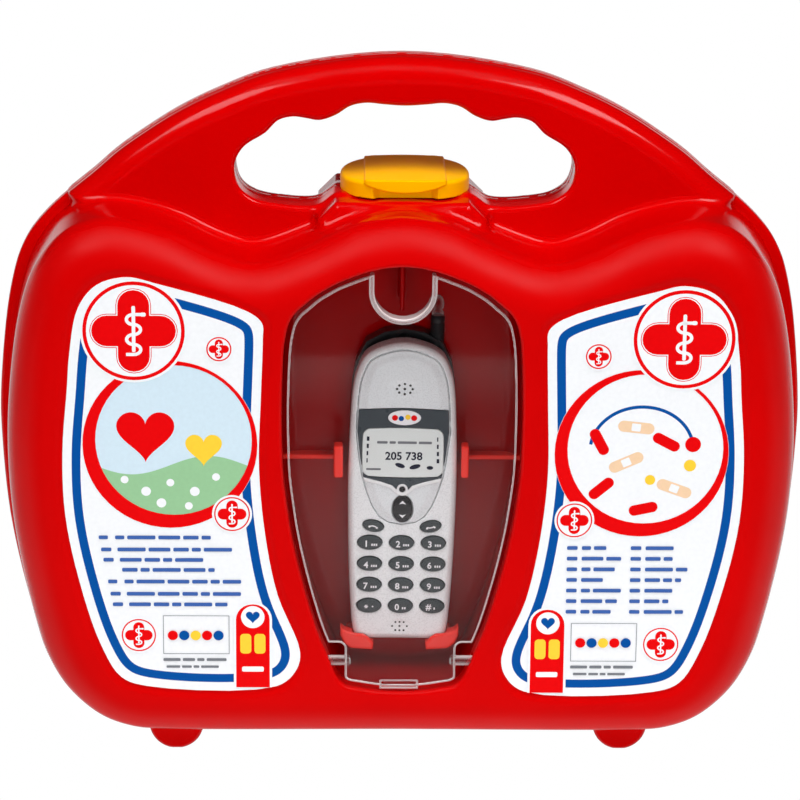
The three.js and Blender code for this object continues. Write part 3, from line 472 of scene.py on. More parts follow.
def bump(tree, height, strength, distance, normal=None):
    values = {"Height": height, "Strength": strength, "Distance": distance * MM}
    if normal is not None:
        values["Normal"] = normal
    return node(tree, "ShaderNodeBump", values).outputs["Normal"]


def feed(tree, shader, colour, roughness, normal):
    for key, value in (("Base Color", colour), ("Roughness", roughness), ("Normal", normal)):
        tree.links.new(value, shader.inputs[key])


def srgb(r, g, b):
    def linear(v):
        v /= 255
        return v / 12.92 if v <= 0.04045 else ((v + 0.055) / 1.055) ** 2.4
    return (linear(r), linear(g), linear(b), 1.0)


def shade(colour, factor):
    return tuple(c * factor for c in colour[:3]) + (1.0,)


def plastic(name, colour, rough=0.25, grain=0.02, swing=0.06, dark=0.9, waves=0.0, **sockets):
    """Moulded plastic: slow colour drift, uneven gloss, fine grain and faint sink marks."""
    material, tree, shader, _ = start_material(name)
    tint = mix_colour(tree, noise_spread(tree, 0, 1, 35.0, 2.0), shade(colour, dark), colour)
    gloss = noise_spread(tree, rough - swing / 2, rough + swing / 2, 160.0, 4.0)
    relief = bump(tree, noise(tree, 2600.0, 2.0), 0.6, grain)
    if waves:
        relief = bump(tree, noise(tree, 60.0, 1.0), 0.5, waves, relief)
    feed(tree, shader, tint, gloss, relief)
    for key, value in sockets.items():
        shader.inputs[key.replace("_", " ")].default_value = value
    return material


RED = srgb(205, 0, 1)


def red_shell(name, face_rough):
    """Glossy red moulding, whose front and rear faces are satin with a fine spark grain."""
    material, tree, shader, _ = start_material(name)
    depth = calc(tree, "ABSOLUTE", part_of(tree, object_place(tree), "Y"))
    face = spread(tree, depth, 0.0, 1.0, 36 * MM, 40 * MM)
    tint = mix_colour(tree, noise_spread(tree, 0, 1, 30.0, 2.0), shade(RED, 0.93), RED)
    uneven = noise_spread(tree, -0.03, 0.03, 140.0, 4.0)
    gloss = calc(tree, "ADD", spread(tree, face, 0.13, face_rough, 0.0, 1.0), uneven)
    strength = spread(tree, face, 0.06, 0.75, 0.0, 1.0)
    grain = bump(tree, noise(tree, 1500.0, 3.0, 0.6), strength, 0.045)
    feed(tree, shader, tint, gloss, bump(tree, noise(tree, 45.0, 1.0), 0.35, 0.12, grain))
    edge_sheen = spread(tree, face, 0.3, 0.12, 0.0, 1.0)
    sheen = spread(tree, facing_front(tree), edge_sheen, 0.04, 0.86, 0.97)
    tree.links.new(sheen, shader.inputs["Specular IOR Level"])
    return material


def clear_plastic(name, body_tint, painted_edge_glint, painted_face_glint=0.0):
    """A clear moulding: see-through faces with glossy reflections, and a painted highlight on its
    cut edges, an opaque pale shader mixed in where the skin faces sideways.
    """
    material, tree, shader, output = start_material(name)
    # Painted highlight: how much opaque pale plastic shows, most where the skin faces sideways
    edge = spread(tree, facing_front(tree), painted_edge_glint, painted_face_glint, 0.35, 0.95)
    inside = node(tree, "ShaderNodeNewGeometry").outputs["Backfacing"]
    fresnel = node(tree, "ShaderNodeFresnel", {
        "IOR": spread(tree, inside, 1.5, 1 / 1.5, 0.0, 1.0),
    }).outputs[0]
    through = node(tree, "ShaderNodeBsdfTransparent", {"Color": body_tint}).outputs[0]
    gloss = node(tree, "ShaderNodeBsdfGlossy", {
        "Color": (0.3, 0.29, 0.29, 1), "Roughness": 0.04,
    }).outputs[0]
    pane = node(tree, "ShaderNodeMixShader", {0: fresnel, 1: through, 2: gloss}).outputs[0]
    # Pale colour of the painted edge highlight
    tint = mix_colour(
        tree, noise_spread(tree, 0, 1, 90.0), (0.86, 0.76, 0.76, 1), (0.95, 0.9, 0.9, 1),
    )
    relief = bump(tree, noise(tree, 55.0, 1.0), 0.5, 0.08)
    feed(tree, shader, tint, noise_spread(tree, 0.04, 0.09, 120.0, 3.0), relief)
    mix = node(tree, "ShaderNodeMixShader", {0: edge, 1: pane, 2: shader.outputs[0]})
    tree.links.new(mix.outputs[0], output.inputs[0])
    return material


def print_ink(name, colour, rough=0.42):
    """Printed film: faint mottling of the ink and a slight film texture."""
    material, tree, shader, _ = start_material(name)
    tint = mix_colour(tree, noise_spread(tree, 0, 1, 700.0, 3.0), shade(colour, 0.96), colour)
    gloss = noise_spread(tree, rough - 0.05, rough + 0.05, 200.0)
    feed(tree, shader, tint, gloss, bump(tree, noise(tree, 300.0, 2.0), 0.3, 0.03))
    shader.inputs["Specular IOR Level"].default_value = 0.04
    return material


def silver_paint(name, colour, rough=0.3):
    """Silver paint with fine metal flakes."""
    material, tree, shader, _ = start_material(name)
    flakes = node(tree, "ShaderNodeTexVoronoi", {
        "Vector": object_place(tree), "Scale": 5200.0,
    }).outputs["Color"]
    tint = mix_colour(tree, noise_spread(tree, 0, 1, 3800.0, 2.0), shade(colour, 0.95), colour)
    gloss = noise_spread(tree, rough - 0.03, rough + 0.03, 2500.0)
    feed(tree, shader, tint, gloss, bump(tree, flakes, 0.03, 0.01))
    shader.inputs["Metallic"].default_value = 0.08
    return material


def steel(name):
    material, tree, shader, _ = start_material(name)
    stretched = node(tree, "ShaderNodeMapping", {
        "Vector": object_place(tree), "Scale": (60.0, 3000.0, 3000.0),
    }).outputs[0]
    streaks = node(tree, "ShaderNodeTexNoise", {
        "Vector": stretched, "Scale": 1.0,
    }).outputs["Fac"]
    tint = mix_colour(tree, streaks, (0.42, 0.43, 0.44, 1), (0.62, 0.63, 0.64, 1))
    feed(tree, shader, tint, spread(tree, streaks, 0.22, 0.4), bump(tree, streaks, 0.2, 0.01))
    shader.inputs["Metallic"].default_value = 1.0
    return material


red_front = red_shell("red_front", 0.40)
red_rear = red_shell("red_rear", 0.38)
# Painted shade: the tray is a darker red than the shell, for the shade inside the recess behind
# the door
shaded_red_tray = plastic(
    "shaded_red_tray", srgb(158, 0, 2), 0.16, grain=0.01, waves=0.15, Specular_IOR_Level=0.25,
)
# Painted light: the clips are a lighter, pinker red than the shell, raised to make up for the
# shade of the recess they sit in
brightened_red_clips = plastic("brightened_red_clips", srgb(255, 52, 40), 0.2, grain=0.01)
yellow = plastic(
    "yellow_latch", srgb(255, 186, 0), 0.4, grain=0.015, dark=0.97, Specular_IOR_Level=0.02,
)
clear_door = clear_plastic("clear_door", (0.995, 0.985, 0.985, 1), 0.55)
# The door's edge skin shows the painted edge highlight on its faces as well as where it faces
# sideways
clear_rim = clear_plastic("clear_rim", (0.98, 0.95, 0.95, 1), 0.95, 0.22)
clear_tip = clear_plastic("clear_tip", (0.85, 0.85, 0.85, 1), 0.35)
silver = silver_paint("silver_housing", srgb(238, 243, 245), 0.28)
silver_plate = silver_paint("silver_plate", srgb(229, 236, 239), 0.28)
silver_bright = silver_paint("silver_lip", srgb(241, 245, 247), 0.15)
dark_case = plastic("dark_housing", srgb(34, 36, 38), 0.35, grain=0.03)
black_gloss = plastic("black_gloss", srgb(20, 21, 24), 0.14, grain=0.004)
bezel_grey = plastic("bezel_grey", srgb(58, 67, 73), 0.3, grain=0.01)
key_grey = plastic("key_grey", srgb(60, 69, 72), 0.42, grain=0.02)
screen_film = plastic("screen_film", srgb(224, 232, 231), 0.12, grain=0.003, dark=0.97)
rubber = plastic("grey_rubber", srgb(60, 66, 68), 0.7, grain=0.06)
board_green = plastic("green_board", srgb(38, 98, 52), 0.4, grain=0.02, dark=0.8)
metal = steel("bright_steel")
ink_white = print_ink("ink_white", srgb(240, 242, 245))
ink_blue = print_ink("ink_blue", srgb(5, 78, 155))
ink_red = print_ink("ink_red", srgb(228, 5, 9))
ink_pale = print_ink("ink_pale", srgb(206, 226, 238))
ink_green = print_ink("ink_green", srgb(150, 196, 150))
ink_skin = print_ink("ink_sand", srgb(240, 205, 168))
ink_yellow = print_ink("ink_yellow", srgb(250, 206, 60))
ink_grey = print_ink("ink_grey", srgb(120, 124, 130))
ink_dark = print_ink("ink_dark", srgb(40, 44, 60))
ink_text = print_ink("ink_text", srgb(62, 98, 168))


# Half shells. The side is -1 for the front half and 1 for the rear half.

rim_points = mirrored(RIM_SHARES, RIM_HALF_WIDTH, RIM_FLOOR, CASE_TOP - RIM_FLOOR)
shoulder = SEAT_TOP - 1.7
handle_top = np.array(sorted(
    [tuple(p) for p in rim_points if p[1] > shoulder], key=lambda p: -p[0],
))
handle_foot = handle_top[0][0] - 3
handle_points = np.concatenate([handle_top, np.array([
    (-handle_foot, shoulder - 6), (-HOLE_HALF_WIDTH, SEAT_UNDERSIDE - 6),
    (HOLE_HALF_WIDTH, SEAT_UNDERSIDE - 6), (handle_foot, shoulder - 6),
])])
seat_points = np.array([
    (-SEAT_HALF_WIDTH, SEAT_TOP - 6), (-SEAT_HALF_WIDTH, SEAT_UNDERSIDE),
    (SEAT_HALF_WIDTH, SEAT_UNDERSIDE), (SEAT_HALF_WIDTH, SEAT_TOP - 6),
    (SEAT_HALF_WIDTH - 6, SEAT_TOP), (6 - SEAT_HALF_WIDTH, SEAT_TOP),
])
rim_edge = Outline(rim_points)
body_edge = Outline(mirrored(BODY_SHARES, BODY_HALF_WIDTH, BODY_FLOOR, SEAT_TOP - BODY_FLOOR))
hole_edge = Outline(mirrored(HOLE_SHARES, HOLE_HALF_WIDTH, HOLE_FOOT, HOLE_HEIGHT), 0.7)
handle_edge = Outline(handle_points)
seat_edge = Outline(seat_points)
window_edge = Outline(
    mirrored(WINDOW_SHARES, WINDOW_HALF_WIDTH, WINDOW_BASE, WINDOW_TOP - WINDOW_BASE), 0.7,
)


def softened(loop, count=300, rounds=14):
    """The loop with its corners rounded off."""
    ends = np.vstack([loop, loop[:1]])
    length = np.concatenate([[0], np.cumsum(np.linalg.norm(np.diff(ends, axis=0), axis=1))])
    places = np.linspace(0, length[-1], count, endpoint=False)
    out = np.stack([np.interp(places, length, ends[:, k]) for k in (0, 1)], 1)
    for _ in range(rounds):
        out = (np.roll(out, 1, 0) + 2 * out + np.roll(out, -1, 0)) / 4
    return out


# For each label its shift and lean towards the right, its foot and its top
LABEL_FIT = {-1: (0.85, 0.0075, 32.1, 173.0), 1: (0.35, -0.0185, 30.4, 170.8)}


def label_points(side, grow=0.0):
    shift, lean, foot, top = LABEL_FIT[side]
    points = spline([
        (LABEL_INNER + x * (LABEL_OUTER - LABEL_INNER), foot + z * (top - foot))
        for x, z in LABEL_SHARES
    ], 5)
    points[:, 0] += side * (shift + lean * (110.0 - points[:, 1]))
    if grow:
        points = softened(points)
    along = np.roll(points, -1, 0) - np.roll(points, 1, 0)
    along /= np.linalg.norm(along, axis=1)[:, None]
    points = points + grow * np.stack([along[:, 1], -along[:, 0]], 1)
    return points * (side, 1)


label_edges = {side: Outline(label_points(side)) for side in (-1, 1)}


def from_axis(axis, y, z):
    """Distance from an axis that runs along X."""
    return np.hypot(y - axis[0], z - axis[1])


def shell_field(side, foot_x, start=HALF_GAP):
    front = side < 0
    middle = (-HINGE_CENTRE, HINGE_CENTRE)
    outer = [centre + step for centre in middle for step in (-8, 8)]
    knuckles, others = (middle, outer) if front else (outer, middle)

    def field(x, y, z):
        d = side * y
        body_side = body_edge(x, z) + FACE_DRAFT * np.maximum(d, 0)
        face = d - HALF_DEPTH
        if front:
            sunk = np.minimum(label_edges[-1](x, z), label_edges[1](x, z))
            face = face + LABEL_SINK * (1 - ramp(sunk, 0.4, 3.2))
        body = round_max(body_side, face, FACE_FILLET)
        hole = hole_edge(x - HOLE_SHIFT, z)
        handle_side = handle_edge(x, z)
        handle = np.maximum(
            round_max(handle_side, d - HANDLE_DEPTH, 8.0),
            round_max(-hole, d - HANDLE_DEPTH, 1.6 if front else 10.0),
        )
        rim = np.maximum(round_max(rim_edge(x, z), d - 3.0, 1.2), -hole)
        seat = round_max(seat_edge(x, z), d - 24.0, 3.0)
        feet = round_max(np.hypot(np.abs(x) - foot_x, z - 9.05) - 9.3, np.abs(d - 17) - 5, 1.6)
        solid = body
        for part, blend in ((handle, 2.2), (seat, 3.0), (rim, 0.8), (feet, 1.0)):
            solid = round_min(solid, part, blend)
        hollow = round_max(body_side + SHELL_WALL, face + SHELL_WALL, FACE_FILLET - SHELL_WALL)
        pocket = most(
            round_max(handle_side + HANDLE_WALL, d - POCKET_DEPTH, 5.4),
            round_max(HANDLE_WALL - hole, d - POCKET_DEPTH, 1.0 if front else 7.4), -body, -seat,
        )
        if front:
            window = window_edge(x, z)
            hollow = np.maximum(hollow, -np.maximum(window - 2.4, 38.0 - d))
        solid = most(solid, -hollow, -pocket, start - d)
        if front:
            solid = round_max(solid, -np.maximum(window, 30.0 - d), 1.1)
            pegs = np.maximum(from_axis(DOOR_PIVOT, y, z) - 1.75, np.abs(x) - 28.2)
            solid = np.maximum(solid, -pegs)
        for centre in others:
            cut = most(np.abs(x - centre) - KNUCKLE_HALF - 0.3, d - 4.5, z - 9.0)
            solid = np.maximum(solid, -cut)
        turn = from_axis(HINGE_PIVOT, y, z)
        for centre in knuckles:
            barrel = round_max(turn - 4.2, np.abs(x - centre) - KNUCKLE_HALF, 0.5)
            web = most(
                slab(x, centre - KNUCKLE_HALF, centre + KNUCKLE_HALF), slab(d, HALF_GAP, 8.0),
                slab(z, HINGE_PIVOT[1], 11.5),
            )
            solid = np.minimum(solid, round_min(barrel, web, 0.6))
        if not front:
            across = from_axis(LATCH_PIVOT, y, z)
            stem = np.maximum(np.abs(y - LATCH_PIVOT[0]) - 1.8, slab(z, 191.3, LATCH_PIVOT[1]))
            for centre in (-10.3, 10.3):
                ear = round_max(np.minimum(across - 1.8, stem), np.abs(x - centre) - 1.5, 0.3)
                solid = np.minimum(solid, ear)
            solid = np.maximum(solid, -np.maximum(across - 1.05, np.abs(x) - 14))
        bore = np.maximum(turn - 1.9, np.abs(np.abs(x) - HINGE_CENTRE) - 16)
        return most(solid, -bore, -z)

    return field


for name, side, foot_x, corners, step, material in (
    ("front", -1, 76.0, ((-136.5, -47, -1), (136.5, 5, 239)), 0.95, red_front),
    ("rear", 1, 54.0, ((-136.5, -5, -1), (136.5, 47, 239)), 1.1, red_rear),
):
    shell = skin(
        f"{name}_half_shell", shell_field(side, foot_x), *corners, step,
        split=(side * HALF_GAP, shell_field(side, foot_x, -3.0)),
    )
    dress(shell, f"{name}_half", "red_plastic", material, stands_for=(f"{name}_shell",))


# Tray behind the window

phone_edge = Outline(mirrored(PHONE_SHARES, PHONE_HALF_WIDTH, 0, PHONE_HEIGHT), 0.4, 6.0)
face_edge = Outline(mirrored(PHONE_SHARES, PHONE_HALF_WIDTH, 0, PHONE_FACE_HEIGHT), 0.4, 6.0)


def in_phone(x, z):
    c, s = math.cos(PHONE_LEAN), math.sin(PHONE_LEAN)
    return x * c - (z - PHONE_FOOT) * s, x * s + (z - PHONE_FOOT) * c


def tray_field(x, y, z):
    window = window_edge(x, z)
    walls = np.maximum(round_max(window - 2.0, y + 5.0, 3.0), TRAY_MOUTH - y)
    flange = round_max(window - 5.0, np.abs(y - TRAY_MOUTH - 1.0) - 1.0, 0.4)
    solid = round_min(walls, flange, 0.8)
    solid = np.maximum(solid, -round_max(window, y - TRAY_BACK, 5.0))
    rib = block(x, y, z, (-0.8, -25, 156.6), (0.8, -6, 177.6), 0.4)
    return round_min(solid, np.maximum(rib, window - 1.0), 0.8)


cradle_edge = Outline(np.array([
    (20.0, 46.3), (20.1, 43.2), (18.8, 40.3), (16.5, 38.45), (9.0, 37.95), (8.7, 40.3),
    (10.5, 42.4), (12.1, 43.5), (15.0, 43.8), (18.6, 45.0),
]), 0.4, 4.0)


def clips_field(x, y, z):
    """Clips and shelves beside the phone, and the cradles below it, on the tray's back."""
    away = np.abs(x)
    out = round_max(cradle_edge(away, z), slab(y, -27.0, -21.5), 0.9)
    foot_rest = block(away, y, z, (10, -22, 38.2), (18, -6, 40.6), 0.5)
    shelf = block(away, y, z, (21, -12, 101.0), (40.3, -6, 102.7), 0.5)
    out = least(out, foot_rest, shelf)
    for left, right in ((-22.5, -19.3), (20.2, 22.8)):
        clip = block(x, y, z, (left, -26, 98.8), (right, -20, 110.0), 0.8)
        stem = block(x, y, z, (left + 0.4, -21, 100.0), (right - 0.4, -6, 103.0), 0.4)
        out = least(out, clip, stem)
    u, w = in_phone(x, z)
    room = np.maximum(phone_edge(u, w) - 0.3, slab(y, -25.4, -7.7))
    return most(out, -room, window_edge(x, z) - 1.0)


tray = skin("window_tray", tray_field, (-46, -39, 20), (46, -4, 183), 0.7)
dress(tray, "front_half", "red_tray_plastic", shaded_red_tray, stands_for=("phone_tray",))
clips = skin("window_tray_clips", clips_field, (-42, -28, 36), (42, -5, 112), 0.5)
dress(clips, "front_half", "red_tray_plastic", brightened_red_clips)


# Clear door

def door_outline(x, z):
    """Distances from the door's edge, its thumb slot and the cut of its lower corners."""
    window = window_edge(x, z) + 1.7
    above = z - SLOT_BOTTOM - SLOT_HALF
    slot = np.where(z > SLOT_BOTTOM + SLOT_HALF, np.abs(x), np.hypot(x, above)) - SLOT_HALF
    return window, slot, round_max(18.5 - np.abs(x), z - 47.0, 2.2)


def door_field(x, y, z):
    window, slot, corner = door_outline(x, z)
    panel = round_max(window, np.abs(y - DOOR_PIVOT[0]) - 0.9, 0.5)
    tab = block(x, y, z, (-6.6, DOOR_OUTER, 30.6), (5.8, DOOR_INNER, 34.5), 0.6)
    collar = np.maximum(slot - 1.4, slab(y, DOOR_OUTER, DOOR_OUTER + 5.0))
    bead = np.hypot(slot - 0.75, y - DOOR_OUTER - 0.1) - 0.75
    collar = np.maximum(round_max(np.minimum(collar, bead), window, 0.3), 148.0 - z)
    solid = round_min(np.minimum(panel, tab), collar, 0.3)
    solid = round_max(round_max(solid, -slot, 0.35), -corner, 0.4)
    peg = round_max(from_axis(DOOR_PIVOT, y, z) - 1.7, slab(np.abs(x), 16.8, 27.4), 0.3)
    return np.minimum(solid, peg)


def door_rim_field(x, y, z):
    """A thin skin over the door's rounded edges, round its outline and the thumb slot, that
    carries the painted highlight of the clear edges.
    """
    window, slot, corner = door_outline(x, z)
    front = y - DOOR_OUTER
    bead = most(np.hypot(slot - 0.85, front) - 0.85, window - 0.2, 150.0 - z)
    side = round_max(window, -corner, 0.4)
    tab = np.maximum(np.abs(x + 0.4) - 6.2, np.abs(z - 32.3) - 1.35)
    edge = np.minimum(np.hypot(side + 0.4, front), np.hypot(tab, front)) - 0.34
    return np.maximum(np.minimum(np.maximum(edge, -slot), bead), front - 0.05)


door = skin("clear_window_door", door_field, (-38, -45, 26), (38, -38, 176), 0.5)
dress(door, "window_door", "clear_plastic", clear_door, stands_for=("window_door",))
# Edge skin of the door, in the pale painted highlight
door_rim = skin("clear_window_door_rim", door_rim_field, (-40, -45.2, 28), (40, -43.8, 177), 0.3)
dress(door_rim, "window_door", "clear_plastic", clear_rim)


# Latch

def latch_field(x, y, z):
    x = x - LATCH_SHIFT
    power, crown_half = 2.4, 13.5
    oval = (np.abs(x / 21.5) ** power + np.abs(y / 21.0) ** power + 1e-9) ** (1 / power)
    reach = (oval - 1) * 21.4
    top = LATCH_BOTTOM + 6.0 - 0.9 * (x / 22.0) ** 2
    cap = np.maximum(round_max(reach, z - top, 1.2), LATCH_BOTTOM - z)
    crown_top = LATCH_BOTTOM + 6.85 - 0.5 * (x / crown_half) ** 2
    hang = 2.2 * np.clip(1 - (x / crown_half) ** 2, 0, 1) * ramp(-y, 18.0, 19.6)
    crown = round_max(
        round_max(reach - 0.8, np.abs(x) - crown_half, 0.5),
        np.maximum(z - crown_top, LATCH_BOTTOM + 4.5 - hang - z), 0.55,
    )
    crown = np.maximum(crown, y - LATCH_PIVOT[0])
    back = y + 21.0 - 3.5
    side = 12.6 - 1.15 * np.maximum(y + 21.0, 0)
    recess = most(np.abs(x) - side, back, z - (LATCH_BOTTOM + 4.5))
    wall = most(np.abs(x) - side - 2.0, back - 2.0, z - (LATCH_BOTTOM + 4.4))
    inner = most(reach + 2.0, z - (LATCH_BOTTOM + 4.0), -wall)
    rear = most(np.abs(x) - 12.1, LATCH_PIVOT[0] - 2.3 - y, z - (LATCH_BOTTOM + 4.0))
    solid = round_min(most(cap, -inner, -recess), crown, 0.25)
    solid = np.maximum(solid, -rear)
    across = from_axis(LATCH_PIVOT, y, z)
    stem = np.maximum(np.abs(y - LATCH_PIVOT[0]) - 2.0, slab(z, LATCH_PIVOT[1], 198.0))
    barrel = np.maximum(np.minimum(across - 2.0, stem), np.abs(x + LATCH_SHIFT) - 8.49)
    return np.maximum(np.minimum(solid, barrel), 1.2 - across)


latch = skin("latch_cap", latch_field, (-23.5, -23, 192), (23.5, 22, 201), 0.4)
dress(latch, "latch", "yellow_plastic", yellow, stands_for=("latch",))


# Phone, in its own frame: X from its middle, Y from its face to its back, Z from its foot

tail = [(x * PHONE_HALF_WIDTH, z * PHONE_HEIGHT) for x, z in FACEPLATE_TAIL_SHARES]
plate_edge = Outline(np.array(
    [(30, 130), (-30, 130)] + [(-x, z) for x, z in tail] + tail[:-1][::-1]
), 0.4, 2.0)
bezel_side = [
    (19, 58.4), (13.5, 57.7), (7.5, 56.2), (3.6, 54.9), (2.4, 53.6), (1.2, 52.7), (0, 52.4),
]
bezel_top = [(19, 81.3), (13, 81.8), (6, 82.15), (0, 82.3)]
bezel_edge = Outline(np.array(
    bezel_top + [(-x, z) for x, z in bezel_top[-2::-1] + bezel_side] + bezel_side[-2::-1]
), 0.3, 3.0)
KEY_ROWS = (("star", "0", "hash"), ("7", "8", "9"), ("4", "5", "6"), ("1", "2", "3"))
KEYS = [
    (name, x * 10.7 + 0.15, 12.3 + row * 7.5, 4.08, 2.45, 0.0)
    for row, names in enumerate(KEY_ROWS) for name, x in zip(names, (-1, 0, 1))
] + [
    ("call", -9.5, 40.7, 3.5, 1.95, math.radians(-10)),
    ("end", 9.8, 40.7, 3.5, 1.95, math.radians(10)),
    ("nav", 0.2, 47.0, 3.35, 4.6, 0.0),
]
EAR_BOWL = (88.9, 5.4, 3.1, -1.15, 0.6)
MOUTH_BOWL = (4.9, 4.5, 2.7, -0.2, 0.5)
GEM_HEIGHT = 54.0


def bowl_field(x, y, z, bowl):
    cz, a, b, top, depth = bowl
    return np.sqrt((x / a) ** 2 + ((z - cz) / b) ** 2 + ((y - top) / depth) ** 2 + 1e-9) - 1


def ellipse_distance(x, z, key, grow=0.0):
    _, cx, cz, a, b, turn = key
    c, s = math.cos(turn), math.sin(turn)
    u, w = (x - cx) * c + (z - cz) * s, (z - cz) * c - (x - cx) * s
    a, b = a + grow, b + grow
    length = np.sqrt((u / a) ** 2 + (w / b) ** 2 + 1e-9)
    slope = np.sqrt((u / a ** 2) ** 2 + (w / b ** 2) ** 2 + 1e-9) / length
    return (length - 1) / np.maximum(slope, 1e-3)


def housing_field(x, y, z):
    side = face_edge(x, z)
    whole = np.maximum(round_max(side, -y, 2.6), y - 8.85)
    seat = most(side + 2.05, plate_edge(x, z) - 0.15, y - 0.75)
    solid = most(whole, -np.maximum(side + 1.2, 1.2 - y), -seat)
    for key in KEYS[:-1]:
        solid = round_max(solid, -np.maximum(ellipse_distance(x, z, key, 0.2), y - 4), 0.25)
    return round_max(solid, -0.7 * bowl_field(x, y, z, MOUTH_BOWL), 0.15)


def plate_field(x, y, z):
    side = np.maximum(face_edge(x, z) + 2.35, plate_edge(x, z) + 0.15)
    rise = 0.2 + 0.75 * ramp(-side, 0.2, 3.4)
    solid = round_max(side, np.maximum(-y - rise, y - 0.6), 0.3)
    solid = np.maximum(solid, -np.maximum(bezel_edge(x, z) - 0.1, y - 0.2))
    solid = round_max(solid, -ellipse_distance(x, z, KEYS[-1], 0.35), 0.2)
    return round_max(solid, -0.85 * bowl_field(x, y, z, EAR_BOWL), 0.2)


def screen_side(x, z):
    bow = 0.5 * (1 - (x / 13.4) ** 2)
    u = np.abs(x) - 13.4 - 0.35 * (1 - ((z - 66.7) / 8.3) ** 2) + 2.4
    w = np.abs(z - 66.7) - 8.3 - bow + 2.4
    return np.hypot(np.maximum(u, 0), np.maximum(w, 0)) + np.minimum(np.maximum(u, w), 0) - 2.4


def bezel_field(x, y, z):
    side = most(face_edge(x, z) + 2.5, plate_edge(x, z) + 0.4, bezel_edge(x, z) + 0.1)
    solid = round_max(side, np.maximum(-y - 0.85, y - 0.1), 0.3)
    solid = round_max(solid, -np.maximum(screen_side(x, z), y - 0.5), 0.25)
    return np.maximum(solid, 1.55 - np.hypot(x, z - GEM_HEIGHT))


def lip_field(x, y, z):
    side = np.abs(bezel_edge(x, z) - 0.15) - 0.6
    side = most(side, face_edge(x, z) + 2.45, plate_edge(x, z) + 0.3, z - 60.5)
    from_gem = np.hypot(x, z - GEM_HEIGHT)
    collar = np.abs(from_gem - 1.45) - 0.42
    return np.maximum(
        round_max(np.minimum(side, collar), slab(y, -1.4, 0.2), 0.4), 1.03 - from_gem,
    )


def glass_field(x, y, z):
    return round_max(screen_side(x, z) + 0.15, slab(y, -0.72, -0.1), 0.2)


def badge_field(x, y, z):
    side = ellipse_distance(x, z, ("", 0.3, 79.0, 5.5, 2.6, 0.0))
    return round_max(side, slab(y, -1.1, -0.4), 0.25)


def gem_field(x, y, z):
    return np.sqrt(x ** 2 + (z - GEM_HEIGHT) ** 2 + ((y + 0.5) * 1.1) ** 2 + 1e-9) - 1.1


def key_field(key, stand):
    def field(x, y, z):
        side = ellipse_distance(x, z, key)
        dome = stand + 0.12 * np.clip(-side / 2, 0, 1)
        return round_max(side, np.maximum(-y - dome, y - 1.9), 0.35)
    return field


# Name, field, low and high corner, step, slot, material and the solid that it stands for
PHONE_PIECES = (
    ("phone_front_shell", housing_field, (-18.5, -0.3, -0.3), (18.5, 9, 107.3), 0.38,
     "silver_plastic", silver, ("phone_front_housing",)),
    ("phone_face_cover", plate_field, (-16.5, -1.1, 40), (16.5, 0.8, 105.5), 0.28,
     "silver_plastic", silver_plate, ("phone_faceplate",)),
    ("phone_screen_frame", bezel_field, (-16.5, -1.1, 51.5), (16.5, 0.5, 83), 0.3,
     "grey_plastic", bezel_grey, ("phone_bezel",)),
    ("phone_frame_lip", lip_field, (-16.5, -1.6, 51), (16.5, 0.5, 61), 0.24,
     "silver_plastic", silver_bright, ()),
    ("phone_display", glass_field, (-14.5, -1, 57), (14.5, 0.2, 76.5), 0.32,
     "screen_film", screen_film, ("phone_screen",)),
    ("phone_badge", badge_field, (-6, -1.3, 76), (6.5, 0, 82), 0.25,
     "silver_plastic", ink_white, ()),
    ("phone_round_gem", gem_field, (-1.3, -1.7, 52.7), (1.3, 0.7, 55.3), 0.2,
     "black_plastic", black_gloss, ("phone_gem",)),
)
for name, field, low, high, step, slot_name, material, nodes in PHONE_PIECES:
    dress(phone_skin(name, field, low, high, step), "phone", slot_name, material, stands_for=nodes)

for key in KEYS:
    name, cx, cz, a, b, _ = key
    stand, material = (1.25, black_gloss) if name == "nav" else (0.8, key_grey)
    piece = phone_skin(
        f"phone_key_{name}", key_field(key, stand), (cx - a - 0.6, -stand - 0.3, cz - b - 0.6),
        (cx + a + 0.6, 2, cz + b + 0.6), 0.27,
    )
    dress(piece, f"key_{name}", "key_plastic", material, stands_for=(f"key_{name}",))


# Flat printed shapes, as loops of X and Z that run anticlockwise seen from the front

def disc(cx, cz, r, sides=56, squash=1.0):
    angle = np.linspace(0, 2 * math.pi, sides, endpoint=False)
    return [np.stack([cx + r * np.cos(angle), cz + r * squash * np.sin(angle)], 1)]


def band(outer, inner):
    """The strip between two loops of as many points."""
    after, within = np.roll(outer, -1, 0), np.roll(inner, -1, 0)
    return [np.array(q) for q in zip(inner, outer, after, within)]


def ring(cx, cz, outer, inner):
    return band(disc(cx, cz, outer)[0], disc(cx, cz, inner)[0])


def bar(x0, x1, z0, z1, corner=0.0):
    corner = min(corner, (x1 - x0) / 2 - 1e-3, (z1 - z0) / 2 - 1e-3)
    if corner <= 0:
        return [np.array([(x0, z0), (x1, z0), (x1, z1), (x0, z1)], float)]
    out = []
    for cx, cz, start in (
        (x1 - corner, z0 + corner, -90), (x1 - corner, z1 - corner, 0),
        (x0 + corner, z1 - corner, 90), (x0 + corner, z0 + corner, 180),
    ):
        for step in range(7):
            angle = math.radians(start + 15 * step)
            out.append((cx + corner * math.cos(angle), cz + corner * math.sin(angle)))
    return [np.array(out)]


def turned(loops, cx, cz, degrees):
    c, s = math.cos(math.radians(degrees)), math.sin(math.radians(degrees))
    out = []
    for loop in loops:
        p = loop - (cx, cz)
        out.append(np.stack([p[:, 0] * c - p[:, 1] * s, p[:, 0] * s + p[:, 1] * c], 1) + (cx, cz))
    return out


def lean_bar(cx, cz, left, right, half_height, corner, lean):
    """A bar that reaches left and right of a point, turned about the point."""
    flat = bar(cx + left, cx + right, cz - half_height, cz + half_height, corner)
    return turned(flat, cx, cz, lean)


